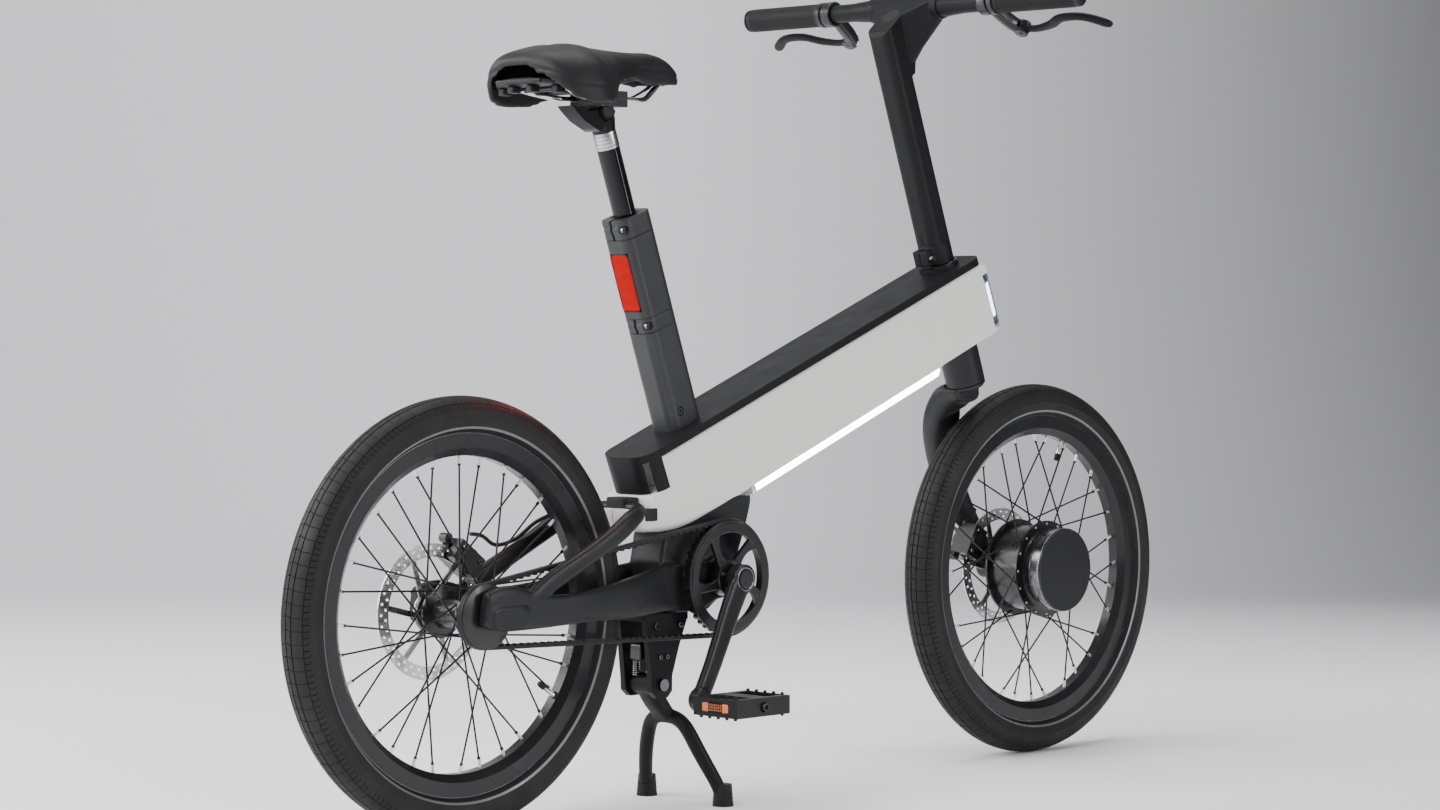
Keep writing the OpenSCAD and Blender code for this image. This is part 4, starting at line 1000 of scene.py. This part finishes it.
def make_mast():
    spots = [(on_mast(-22.5, -17.2, up), (0, -1, 0), 3.6) for up in (135.5, 257.5)]
    bolts("mast_clamp_bolts", spots, "frame", "caliper_black", "caliper_black")
    forged("mast_clamps", 0.9, 5, look="mast_grey")
    # Gasket lines above and below the light module, and the foot seal on the deck
    pile = Pile()
    for up in (125.8, 144.8, 244.8):
        loops = [[on_mast(x, y, h) for x, y in rounded_box(MAST_L - 1.2, MAST_W - 1.2, 12.4)]
                 for h in (up - 0.3, up + 0.4)]
        pile.add(skin(loops, ends="both", flip=True))
    pile.make("mast_gaskets", "dark_gap", "frame", slot="black_plastic")
    outline = rounded_box(LENS_H, LENS_W, 5.0)
    loops = []
    for back, d in ((24.15, 0), (26.35, 0), (27.05, 0.7), (27.15, 1.6)):
        loops.append([on_mast(-back, y * (1 - 2 * d / LENS_W), LENS_UP + x * (1 - 2 * d / LENS_H))
                      for x, y in outline])
    build("tail_light_lens", *skin(loops, ends="both"), "red_lens", "frame", ("tail_lens",),
          angle=40)
    inner, outer = rounded_box(72.0, 28.4, 5.4), rounded_box(74.0, 30.2, 6.0)
    loops = [[on_mast(-back, y, LENS_UP + x) for x, y in ring] for ring, back in
             ((outer, 26.0), (outer, 26.9), (inner, 26.9), (inner, 26.0))]
    build("tail_light_bezel", *skin(loops, wrap=True), "black_plastic", "frame")


def make_seatpost():
    """Engraved height marks and the ground band below the saddle head."""
    low = 354.0
    pile = Pile()
    pile.turn(frame_at(on_mast(0, 0, low), MAST_AXIS),
              [(13.9, 0), (14.25, 0), (14.35, 0.4), (14.35, 20.1), (14.25, 20.5), (13.9, 20.5)])
    for k in range(4):
        pile.turn(frame_at(on_mast(0, 0, low + 3 + 4.4 * k), MAST_AXIS),
                  [(14.3, 0), (14.4, 0), (14.4, 0.5), (14.3, 0.5)], index=1)
    pile.make("post_band", "bare_alloy dark_gap", "seatpost", angle=30)
    marks = Pile()
    for k in range(24):
        wide = 3.4 if k % 5 == 0 else 2.0
        loops = []
        for up in (0, 0.5):
            row = []
            for a in np.linspace(-wide / 14, wide / 14, 5):
                b = -math.radians(62) + a
                row.append(on_mast(14.05 * math.cos(b), 14.05 * math.sin(b), 276 + 3.0 * k + up))
            loops.append(row)
        marks.add(skin(loops, closed=False))
    marks.make("post_marks", "bare_alloy", "seatpost")


# ---- Saddle ----------------------------------------------------------------------------

SADDLE_TAIL = -440.0
SADDLE_Z = 897.0
# Distance from the tail, half width, lower edge and top in mm; heights from SADDLE_Z
SADDLE_ROWS = ((0, 30, -13, 0), (10, 58, -26, 10), (30, 76, -45, 16), (55, 83, -51, 21),
               (75, 82, -51, 21), (100, 70, -47, 18), (125, 52, -28, 17), (150, 37, -19, 17),
               (180, 27, -16, 18), (210, 22, -21, 20), (240, 19, -19, 15), (260, 14, -18, 4),
               (268, 6, -13, -4))
SADDLE_TABLE = np.array([tuple(r) for r in smooth_path(SADDLE_ROWS, 4)])


def saddle_row(x):
    """Half width, lower edge and top of the saddle at x, mm."""
    return [float(np.interp(x - SADDLE_TAIL, SADDLE_TABLE[:, 0], SADDLE_TABLE[:, k]))
            for k in (1, 2, 3)]


def saddle_form(steps=5, across=36):
    """Padded arch, open beneath: outer skin over the crown and back along the inside."""
    loops = []
    for d, w, lo, hi in smooth_path(SADDLE_ROWS, steps):
        loop = []
        inner = (max(w - 9, w * 0.4), max(hi - 12, lo + 1))
        for half, top, turns in ((w - 0.6, hi, range(across + 1)),
                                 (*inner, range(across, -1, -1))):
            for k in turns:
                a = math.pi * k / across
                c = -math.cos(a)
                loop.append(mm(SADDLE_TAIL + 0.6 + d * 0.9955,
                               half * math.copysign(abs(c) ** 0.7, c),
                               SADDLE_Z + lo + (top - lo) * math.sin(a) ** 0.8))
        loops.append(loop)
    verts, faces = skin(loops)
    n = len(loops[0])
    last = (len(loops) - 1) * n
    for k in range(across):
        quad = (k, k + 1, n - 2 - k, n - 1 - k)
        faces.append(quad)
        faces.append(tuple(last + q for q in reversed(quad)))
    return verts, [tuple(reversed(f)) for f in faces]


def seam_depth(x, y, z):
    """How deep the skin is drawn in at a point, mm: side seams, nose seam, centre hollow."""
    w, lo, hi = saddle_row(x)
    forward = min(1.0, max(0.0, (x + 300) / 50))
    share = 0.30 * (1 - forward) + 0.48 * forward
    seam_z = SADDLE_Z + lo + (hi - lo) * share
    side = min(1.0, max(0.0, (abs(y) / max(w, 1) - 0.5) * 4))
    seam = 1.3 * math.exp(-((z - seam_z) / 1.5) ** 2) * side
    back = min(1.0, max(0.0, (x + 418) / 30)) * min(1.0, max(0.0, (-215 - x) / 30))
    above = 1.0 if z > SADDLE_Z + hi - 11 else 0.0
    return seam + 1.8 * math.exp(-(y / 9) ** 2) * back * above


def cushion_simulation(obj):
    """Blows the padded cushion up from inside, as foam under a stretched skin."""
    obj.modifiers.new("cloth", "CLOTH")
    cloth = obj.modifiers["cloth"]
    settings = cloth.settings
    settings.use_pressure = True
    settings.uniform_pressure_force = 4.0
    settings.quality = 6
    settings.mass = 0.25
    settings.tension_stiffness = 60
    settings.compression_stiffness = 60
    settings.shear_stiffness = 30
    settings.bending_stiffness = 6
    settings.effector_weights.gravity = 0.0
    scene = bpy.context.scene
    scene.frame_start, scene.frame_end = 1, 20
    cloth.point_cache.frame_start, cloth.point_cache.frame_end = 1, 20
    for step in range(1, 21):
        scene.frame_set(step)
    mesh = mesh_of(obj)
    obj.modifiers.clear()
    scene.frame_set(1)
    return mesh


def make_saddle():
    verts, faces = saddle_form()
    mesh = bpy.data.meshes.new("saddle_skin")
    mesh.from_pydata([tuple(v) for v in verts], [], faces)
    mesh.update()
    obj = linked("saddle_skin", mesh)
    remesh = obj.modifiers.new("remesh", "REMESH")
    remesh.mode = "VOXEL"
    remesh.voxel_size = 0.004
    smooth = obj.modifiers.new("smooth", "SMOOTH")
    smooth.iterations = 3
    base = mesh_of(obj)
    obj.modifiers.clear()
    obj.data = base
    rest = np.array([v.co for v in base.vertices])
    pressed = cushion_simulation(obj)
    co = np.array([v.co for v in pressed.vertices])
    move = co - rest
    size = np.linalg.norm(move, axis=1)
    limit = 0.0025
    scale = np.where(size > limit, limit / np.maximum(size, 1e-9), 1.0)
    base.vertices.foreach_set("co", (rest + move * scale[:, None]).astype(np.float32).ravel())
    obj.data = base
    divide = obj.modifiers.new("divide", "SUBSURF")
    divide.levels = 1
    final = mesh_of(obj)
    obj.modifiers.clear()
    obj.data = final
    final.update()
    for v in final.vertices:
        depth = seam_depth(v.co.x / MM, v.co.y / MM, v.co.z / MM)
        v.co = v.co - v.normal * depth * MM
    final.materials.clear()
    final.materials.append(MATERIALS["saddle_skin"])
    final.update()
    soften(final, 60)
    place(obj, "saddle", ("saddle_cover",))
    saddle_underside()


def saddle_underside():
    """Rolled edge of the moulded base, its ribs and the sockets that hold the rails."""
    pile = Pile()
    edge = [(-430, 37), (-400, 65), (-368, 62), (-340, 53), (-318, 40), (-300, 27.5),
            (-270, 16), (-240, 9)]
    plate = [-25, -29, -29, -29, -26, -21, -15.6, -11]
    for side in (-1, 1):
        knots = [mm(x, side * w, SADDLE_Z + z) for (x, w), z in zip(edge, plate)]
        pile.add(pipe(smooth_path(knots, 5), 3.0, 12))
    ends = [mm(-431 - 3 * math.cos(t), 37 * math.sin(t), SADDLE_Z - 25)
            for t in np.linspace(-math.pi / 2, math.pi / 2, 9)]
    pile.add(pipe(ends, 3.0, 12))
    for x, w in ((-412, 52), (-388, 58), (-362, 56), (-334, 44)):
        pile.add(pipe([mm(x, y, SADDLE_Z - 33) for y in np.linspace(-w, w, 7)], 2.2, 8))
    for side in (-1, 1):
        for x, y, tall in ((-411, 46, 9), (-372, 24, 8), (-424, 16, 8)):
            lug = prism(rounded_box(15, 11, 3), -tall, 0, 1.2)
            pile.add(moved(lug, frame_at(mm(x, side * y, SADDLE_Z - 30), (0, 0, 1))))
    pile.make("saddle_base_ribs", "black_plastic", "saddle")


# ---- Rear frame and drive --------------------------------------------------------------


def toothed_wheel(radius, teeth, depth, y0, y1, inner):
    """Belt pulley rim: flat-topped teeth with rounded roots round a ring."""
    outline = []
    root, flank = radius - depth, radius - depth * 0.8
    tooth = ((0.02, radius), (0.40, radius), (0.50, flank), (0.58, root), (0.84, root),
             (0.92, flank))
    for k in range(teeth):
        for part, r in tooth:
            a = 2 * math.pi * (k + part) / teeth
            outline.append((r * math.cos(a), r * math.sin(a)))
    n = len(outline)
    bore = [(inner * math.cos(2 * math.pi * k / n), inner * math.sin(2 * math.pi * k / n))
            for k in range(n)]
    loops = [[mm(x, y, z) for x, y in ring] for ring, z in
             ((bore, y0), (outline, y0), (outline, y1), (bore, y1))]
    return skin(loops, wrap=True)


def pulley_radius(teeth):
    return teeth * BELT_PITCH / math.pi / 2 - 1


def front_pulley():
    """Belt ring between thin guards, carried on five curved arms."""
    at = wheel_frame(CRANK)
    r = pulley_radius(CRANK_TEETH)
    pile = Pile()
    pile.add(moved(toothed_wheel(r, CRANK_TEETH, 2.6, -50, -40, r - 8), at), 0)
    guard = [(r - 9, -53.6), (r + 0.4, -53.6), (r + 1.0, -53), (r + 1.0, -51.6), (r + 0.4, -51),
             (r - 9, -51)]
    pile.turn(at, guard, 160)
    inner = [(r - 13, -54.6), (r - 12.4, -55), (r - 2.6, -55), (r - 2, -54.6), (r - 2, -53.4),
             (r - 13, -53.4)]
    pile.turn(at, inner, 160)
    boss = [(12.1, -56.6), (21.6, -56.6), (22.8, -55.6), (22.8, -40), (12.1, -40)]
    pile.turn(at, boss, 96)
    for k in range(5):
        a0 = 2 * math.pi * k / 5 - math.radians(18)
        outline_a, outline_b = [], []
        for t in np.linspace(0, 1, 10):
            rr = 20 + (r - 9 - 20) * t
            half = 7.5 - 3.2 * math.sin(math.pi * min(1, t * 1.05)) + 1.5 * t
            mid = a0 + 0.20 * t * t
            outline_a.append((rr * math.cos(mid) - half * math.sin(mid),
                              rr * math.sin(mid) + half * math.cos(mid)))
            outline_b.append((rr * math.cos(mid) + half * math.sin(mid),
                              rr * math.sin(mid) - half * math.cos(mid)))
        pile.add(moved(prism(outline_b + outline_a[::-1], -54.4, -48, 1.1), at), 0)
    pile.make("front_pulley_toothed", "caliper_black", "crank", hides=("front_pulley",), angle=32)
    spots = []
    for k in range(5):
        a = 2 * math.pi * k / 5 - math.radians(18)
        spots.append((CRANK + mm(17.4 * math.sin(a + 1.57), -56.6,
                                 17.4 * math.cos(a + 1.57)), (0, -1, 0), 3.2))
    bolts("front_pulley_bolts", spots, "crank")


def rear_pulley():
    at = wheel_frame(REAR)
    r = pulley_radius(HUB_TEETH)
    pile = Pile()
    pile.add(moved(toothed_wheel(r, HUB_TEETH, 2.6, -49.9, -40.2, 12), at), 0)
    flange = [(6, -50.6), (r + 3.4, -50.6), (r + 4, -50.3), (r + 3.6, -49.9), (6, -49.9)]
    pile.turn(at, flange, 128)
    pile.turn(at, [(5.3, -40.2), (15.6, -40.2), (15.6, -36.6), (5.3, -36.6)], 64)
    pile.make("rear_pulley_toothed", "caliper_black", "rear_pulley",
              hides=("rear_pulley",), angle=32)


def belt():
    """Toothed belt: smooth ribbed back all the way round, teeth along both straight runs."""
    r1 = pulley_radius(CRANK_TEETH) + 0.4
    r2 = pulley_radius(HUB_TEETH) + 0.4
    axis = Vector((CRANK.x - REAR.x, CRANK.z - REAR.z)) / MM
    d, lean = axis.length, math.atan2(axis.y, axis.x)
    b = math.acos((r1 - r2) / d)
    crank = Vector((CRANK.x, CRANK.z)) / MM
    rear = Vector((REAR.x, REAR.z)) / MM
    path = []
    for k in range(61):
        a = lean + math.pi - b + (2 * b - 2 * math.pi) * k / 60
        path.append((crank, r1, a))
    for k in range(41):
        a = lean + math.pi + b - 2 * b * k / 40
        path.append((rear, r2, a))
    points = [(c + Vector((math.cos(a), math.sin(a))) * r, Vector((math.cos(a), math.sin(a))))
              for c, r, a in path]
    y0, y1 = -49.4, -40.6
    section = [(0.0, y0), (3.2, y0), (4.0, y0 + 0.8), (4.0, -45.4), (3.5, -45.2), (3.5, -44.8),
               (4.0, -44.6), (4.0, y1 - 0.8), (3.2, y1), (0.0, y1)]
    loops = []
    for p, out in points:
        loops.append([mm(p.x + out.x * h, y, p.y + out.y * h) for h, y in section])
    pile = Pile().add(skin(loops, wrap=True))
    straights = ((points[60], points[61]), (points[101], points[0]))
    for (p, out), (q, _) in straights:
        run = q - p
        length = run.length
        along = run / length
        count = int((length - 16) / BELT_PITCH)
        for k in range(count):
            c = p + along * (length / 2 + (k - (count - 1) / 2) * BELT_PITCH)
            tooth = [(-2.9, 0.1), (-2.4, -1.2), (-1.6, -2.2), (1.6, -2.2), (2.4, -1.2),
                     (2.9, 0.1)]
            rings = [[mm(c.x + along.x * u + out.x * h, y, c.y + along.y * u + out.y * h)
                      for u, h in tooth] for y in (y0, y1)]
            pile.add(skin(rings, ends="both"))
    pile.make("belt_toothed", "belt_rubber", "frame", hides=("belt",), angle=30)


def chain_stays():
    """Yoke and both stays blended into one casting, the dropout cover and the left nut."""
    forged("yoke", 1.7, 12, also=("stay_right", "stay_left"))
    middle_x, middle_z = DROPOUT
    cover = rounded_box(54, 25, 9, *DROPOUT)
    rim = rounded_box(55.4, 26.4, 9.7, *DROPOUT)
    pile = Pile()
    for ring, y0, y1 in ((cover, -68.6, -69.9), (rim, -67.4, -68.75)):
        loops = [[mm(x * s + middle_x * (1 - s), y, z * s + middle_z * (1 - s)) for x, z in ring]
                 for y, s in ((y0, 1.0), (y1 + 0.3, 1.0), (y1, 0.975))]
        pile.add(skin(loops, ends="both"))
    nut = turned([(0, 0), (7.6, 0), (7.6, 4.2), (6.4, 5.4), (3.5, 6.1), (0, 6.3)], 6)
    washer = turned([(0, 0), (11, 0), (11, 1.2), (10.4, 1.9), (0, 1.9)], 64)
    for shape, y in ((washer, 71.3), (nut, 73.0)):
        pile.add(moved(shape, frame_at(REAR + mm(0, y, 0), (0, 1, 0), (0, 0, 1))), 1)
    pile.make("rear_axle_ends", "frame_grey steel", "frame", angle=35)


def stay_arch():
    """Rounded arch that joins both seat stays in front of the tyre, with the lug to the cap."""
    half = ((-263, 14, 366), (-267, 33, 364), (-277, 42, 361), (-291, 44, 356))
    knots = [mm(x, -y, z) for x, y, z in half[::-1]] + [mm(*p) for p in half]
    pile = Pile().add(pipe(smooth_path(knots, 6), 9.0, 24))
    lug = prism(rounded_box(24, 36, 5), 0, 13, 1.0)
    pile.add(moved(lug, frame_at(mm(-261, 0, 366), (0, 0, 1), (0, 1, 0))))
    under = prism(rounded_box(21, 82.8, 2), -15, 0.6, 1.2)
    pile.add(moved(under, frame_at(mm(-251.5, 0, 366), (0, 0, 1), (0, 1, 0))))
    pile.make("stay_arch", "frame_grey", "frame", hides=("stay_bridge",),
              slot="frame_grey", angle=40)


def crank_details():
    pile = Pile()
    for side in (-1, 1):
        at = frame_at(CRANK + mm(0, side * 80.0, 0), (0, side, 0), (0, 0, 1))
        pile.turn(at, [(0, 0), (11.4, 0), (11.4, 1.4), (10.2, 2.3), (6.2, 2.3), (5.4, 1.2),
                       (0, 1.2)], 64)
        pile.turn(at, [(12.6, 0), (15.2, 0), (15.2, 0.5), (14.6, 0.9), (13.2, 0.9),
                       (12.6, 0.5)], 64, 1)
    pile.make("crank_caps", "caliper_black dark_metal", "crank", slot="crank_grey", angle=35)


def pedal_details(node, side):
    """Reflector lenses in the cage ends, with a painted glow that stands for reflected light, and end-cap screws;
    the side is -1 on the right.
    """
    lo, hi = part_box(node)
    mid = (lo + hi) / 2
    pile = Pile()
    for end in (-1, 1):
        x = mid.x / MM + end * 45.35
        outline = rounded_box(42.0, 10.2, 1.6)
        loops = [[mm(x + end * h, mid.y / MM + u, mid.z / MM + v) for u, v in outline]
                 for h in (-1.2, 0.3)]
        pile.add(skin(loops, ends="both"))
        for k in range(-6, 7):
            for row in (-1, 0, 1):
                dome = turned([(0, 0), (1.35, 0), (0.9, 0.35), (0, 0.55)], 6)
                spot = mm(x + end * 0.3, mid.y / MM + 3.1 * k, mid.z / MM + 3.0 * row)
                pile.add(moved(dome, frame_at(spot, (end, 0, 0))), 0)
    # The reflectors' amber emission is a painted glow, not a lamp
    pile.make(node + "_reflectors", "amber", node, slot="red_lens", angle=40)
    outer = Vector((mid.x, lo.y if side < 0 else hi.y, mid.z))
    bolts(node + "_cap", [(outer, (0, side, 0), 6.0 * 0.9)], node, "caliper_black",
          "black_plastic")


def make_drive():
    chain_stays()
    stay_arch()
    front_pulley()
    rear_pulley()
    belt()
    forged("crank_set", 1.3, 6)
    crank_details()
    pedal_details("pedal_right", -1)
    pedal_details("pedal_left", 1)


# ---- Front end -------------------------------------------------------------------------


def caliper_details(name, body, center, disc_y, angle):
    """Four body bolts on a brake caliper, at angle round its disc."""
    turn = math.radians(angle)
    out = Vector((math.cos(turn), 0, math.sin(turn)))
    round_ = Vector((-math.sin(turn), 0, math.cos(turn)))
    origin = center + Vector((0, disc_y * MM, 0)) + out * (DISC_R - 3) * MM
    spots = []
    for x in (-15, 15):
        for side in (-1, 1):
            spots.append((origin + (round_ * x + out * 6) * MM + mm(0, side * 16, 0),
                          (0, side, 0), 3.4))
    bolts(name + "_bolts", spots, body)


def fork_parts():
    forged("fork_blade", 1.7, 8)
    pile = Pile().turn(wheel_frame(FRONT, 86.2), [(0, 0), (12.4, 0), (12.4, 2.2), (11.2, 3.2),
                                                  (0, 3.2)], 64)
    pile.make("front_axle_cover", "hub_black", "fork")
    hose("front_hose", ((446, 66, 338), (436, 74, 362), (420, 82, 396), (398, 80, 440),
                        (386, 66, 478), (376, 45, 498), (368, 22, 505)), 2.4, "fork")
    crown = frame_at(STEER - STEER_AXIS * 168.4 * MM, STEER_AXIS)
    pile = Pile().turn(crown, [(24.6, 0), (26.2, 0.4), (26.2, 3.0), (24.6, 3.4)])
    pile.make("crown_race_ring", "caliper_black", "fork")


def stem_parts():
    forged("stem", 1.2, 5)
    up, r = 5.2, 25.2
    pile = Pile().turn(frame_at(STEER, STEER_AXIS),
                       [(r - 2, up), (r + 0.1, up), (r + 0.35, up + 0.5), (r + 0.35, up + 1.1),
                        (r + 0.1, up + 1.6), (r - 2, up + 1.6)])
    pile.make("headset_ring", "caliper_black", "frame")
    bolts("stem_pinch_bolt", [(on_head(-27, -14.4, 20.6), (0, -1, 0), 4.6)], "stem")


def bar_parts():
    """Grips with fine rings, lock collars with bolts, end plugs, lever bodies and levers."""
    half = BAR_HALF
    pile = Pile()
    for side in (-1, 1):
        at = frame_at(BAR, (0, side, 0), (0, 0, 1))
        profile = [(12.1, half - 130), (14.4, half - 130), (15.2, half - 129)]
        z = half - 126
        while z < half - 6:
            profile += [(15.5, z), (15.5, z + 1.3), (15.05, z + 1.6), (15.05, z + 2.2)]
            z += 2.5
        profile += [(15.3, half - 3), (14.4, half - 1.0), (12.1, half - 1.0)]
        pile.turn(at, profile, 72)
        collar = [(12.1, half - 138), (16.2, half - 138), (17, half - 137.2), (17, half - 131),
                  (16.2, half - 130.2), (12.1, half - 130.2)]
        pile.turn(at, collar, 96, 1)
        plug = [(0, half + 0.1), (15, half + 0.1), (15, half + 1.8), (13.6, half + 2.9),
                (0, half + 2.9)]
        pile.turn(at, plug, 72, 1)
    pile.make("grips_ringed", "grip_rubber caliper_black", "stem", hides=("grips",), angle=40)
    spots = []
    for side in (-1, 1):
        for a in (0.9, 3.6):
            d = Vector((math.cos(a), 0, math.sin(a)))
            spots.append((BAR + d * 14.8 * MM + mm(0, side * (half - 134), 0), d, 2.6))
    bolts("grip_collar_bolts", spots, "stem")
    forged("lever_bodies", 0.9, 4)
    for lever in ("lever_right", "lever_left"):
        forged(lever, 0.8, 4, look="satin_black")


def make_front():
    fork_parts()
    stem_parts()
    bar_parts()
    caliper_details("front_caliper", "fork", FRONT, 56, 152)
    caliper_details("rear_caliper", "frame", REAR, 49, 52)


# ---- Stand -----------------------------------------------------------------------------


def make_stand():
    """Softened legs, bracket bolts, stop screw, return spring and the rings round each foot."""
    forged("stand_legs", 1.3, 6)
    spots = [(mm(x, -27, z), (0, -1, 0), d) for x, z, d in
             ((-231, 222, 4.6), (-190, 222, 4.6), (-224, 184, 3.4), (-212, 184, 3.4))]
    bolts("stand_bolts", spots, "frame")
    pile = Pile()
    block = prism(rounded_box(20, 34, 3), -9, 9, 1.0)
    pile.add(moved(block, frame_at(mm(-222, 0, 190), (0, 1, 0), (1, 0, 0))))
    pile.make("stand_stop_block", "caliper_black", "frame", slot="satin_black", angle=35)
    coil = [mm(-226 + 4.6 * math.cos(t), 12 + 4.6 * math.sin(t), 178 - 0.42 * t)
            for t in np.linspace(0, 14 * math.pi, 170)]
    build("stand_spring", *pipe(coil, 0.8, 8), "steel", "frame")
    # Rubber rings moulded round each foot
    pile = Pile()
    for side in (-1, 1):
        for z, r in ((5.0, 12.6), (9.5, 12.4), (14.0, 12.1)):
            pile.turn(frame_at(mm(-153, side * 66, 0), (0, 0, 1)),
                      [(r - 1.5, z - 0.9), (r + 0.1, z - 0.6), (r + 0.3, z), (r + 0.1, z + 0.6),
                       (r - 1.5, z + 0.9)], 48)
    pile.make("stand_foot_rings", "grip_rubber", "stand", slot="tyre_black")


# ---- Studio ----------------------------------------------------------------------------

# The paper is white on the floor; on the wall a painted grey deepens into painted shade to the right; distances
# ahead and across from the middle, in metres
FLOOR_WHITE = (0.93, 0.93, 0.945)
WALL_GREY = (0.70, 0.70, 0.72)
WALL_PAINTED_SHADE = (0.15, 0.15, 0.16)
FLOOR_END = 1.2
WALL_START = 2.9
SHADE_LEFT = -0.3
SHADE_RIGHT = 2.2


def backdrop():
    """Seamless pale sweep: floor, a wide bend and a far wall across the camera's view."""
    ahead = Vector((math.cos(CAMERA_YAW), math.sin(CAMERA_YAW), 0))
    across = Vector((ahead.y, -ahead.x, 0))
    profile = [(-9.0, 0.0), (3.2, 0.0)]
    for k in range(1, 17):
        a = math.pi / 2 * k / 16
        profile.append((3.2 + 2.2 * math.sin(a), 2.2 - 2.2 * math.cos(a)))
    profile.append((5.4, 9.0))
    loops = [[ahead * u + across * w + Vector((0, 0, z)) for u, z in profile]
             for w in np.linspace(-11, 11, 12)]
    verts, faces = skin(loops, closed=False)
    mesh = bpy.data.meshes.new("backdrop")
    mesh.from_pydata([tuple(v) for v in verts], [], faces)
    shader = Shader("studio_paper", FLOOR_WHITE, 0.7, specular=0.15)
    shader.vary_color(1.2, 0.012)
    wall, shade = [shader.remap(shader.along(direction), low, high) for direction, low, high in
                   ((ahead, FLOOR_END, WALL_START), (across, SHADE_LEFT, SHADE_RIGHT))]
    # Painted light on the paper: grey wall, deepening to painted shade on the right
    painted_wall_tone = shader.mix(shade, WALL_GREY, WALL_PAINTED_SHADE)
    shader.base(shader.mix(wall, shader.base_source(), painted_wall_tone))
    shader.bump(shader.noise(60, 3), 0.03, 0.001)
    shader.vary_rough(6, 0.05)
    mesh.materials.append(shader.material)
    soften(mesh, 60)
    linked("backdrop", mesh)


def softbox(name, spot, aim, size, power, color=(1, 1, 1), spread=180):
    light = bpy.data.lights.new(name, "AREA")
    light.shape = "RECTANGLE"
    light.size, light.size_y = size
    light.energy = power
    light.color = color
    light.spread = math.radians(spread)
    obj = linked(name, light)
    obj.location = spot
    obj.rotation_euler = (Vector(aim) - Vector(spot)).to_track_quat("-Z", "Y").to_euler()
    return obj


def lights():
    world = bpy.data.worlds.new("studio")
    world.use_nodes = True
    world.node_tree.nodes["Background"].inputs["Color"].default_value = (0.85, 0.87, 0.92, 1)
    world.node_tree.nodes["Background"].inputs["Strength"].default_value = 0.20
    bpy.context.scene.world = world
    middle = (0, 0, 0.5)
    softbox("key_left", (-3.4, -0.6, 2.6), middle, (2.0, 2.6), 105)
    softbox("top_sheet", (0.2, 0.3, 3.4), middle, (3.2, 1.6), 75)
    softbox("side_fill", (0.8, -4.2, 1.7), middle, (2.6, 2.0), 48)
    softbox("rim_back", (-1.5, 3.4, 2.3), (0, 0, 0.6), (2.0, 1.2), 60)
    softbox("wall_wash", (1.5, 1.0, 3.4), (4.0, 3.3, 1.5), (3.0, 0.8), 90)
    softbox("floor_left", (-2.6, 0.8, 2.2), (-1.4, 1.2, 0), (1.6, 1.6), 75)
    softbox("wall_left", (0.9, 4.0, 3.6), (1.8, 5.4, 1.9), (1.2, 0.6), 30)
    softbox("strip_left", (-2.3, 2.1, 1.2), (-0.3, 0, 0.8), (0.14, 1.8), 22)
    softbox("strip_right", (1.15, -2.65, 1.2), (-0.3, 0, 0.8), (0.14, 1.8), 20)
    glow = softbox("tail_glow", on_mast(-34, 0, 191), on_mast(-120, 0, 170), (0.028, 0.07), 0.25,
                   (1.0, 0.05, 0.03))
    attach(glow, "frame")


CAMERA_SPOT = (-3.1279, -2.9372, 0.5970)
CAMERA_YAW = 0.7688
CAMERA_PITCH = -0.0259
CAMERA_ROLL = 0.0024
CAMERA_LENS = 84.86


def camera():
    data = bpy.data.cameras.new("camera")
    data.lens = CAMERA_LENS
    data.sensor_width = 36.0
    data.clip_end = 60
    flat = math.cos(CAMERA_PITCH)
    ahead = Vector((math.cos(CAMERA_YAW) * flat, math.sin(CAMERA_YAW) * flat,
                    math.sin(CAMERA_PITCH)))
    right = Vector((math.sin(CAMERA_YAW), -math.cos(CAMERA_YAW), 0))
    up = right.cross(ahead)
    c, s = math.cos(CAMERA_ROLL), math.sin(CAMERA_ROLL)
    right, up = right * c + up * s, up * c - right * s
    basis = Matrix((right, up, -ahead)).transposed().to_4x4()
    basis.translation = CAMERA_SPOT
    obj = linked("camera", data)
    obj.matrix_world = basis
    bpy.context.scene.camera = obj


dress_all()
make_wheels()
make_beam()
make_mast()
make_seatpost()
make_saddle()
make_drive()
make_front()
make_stand()
backdrop()
lights()
camera()
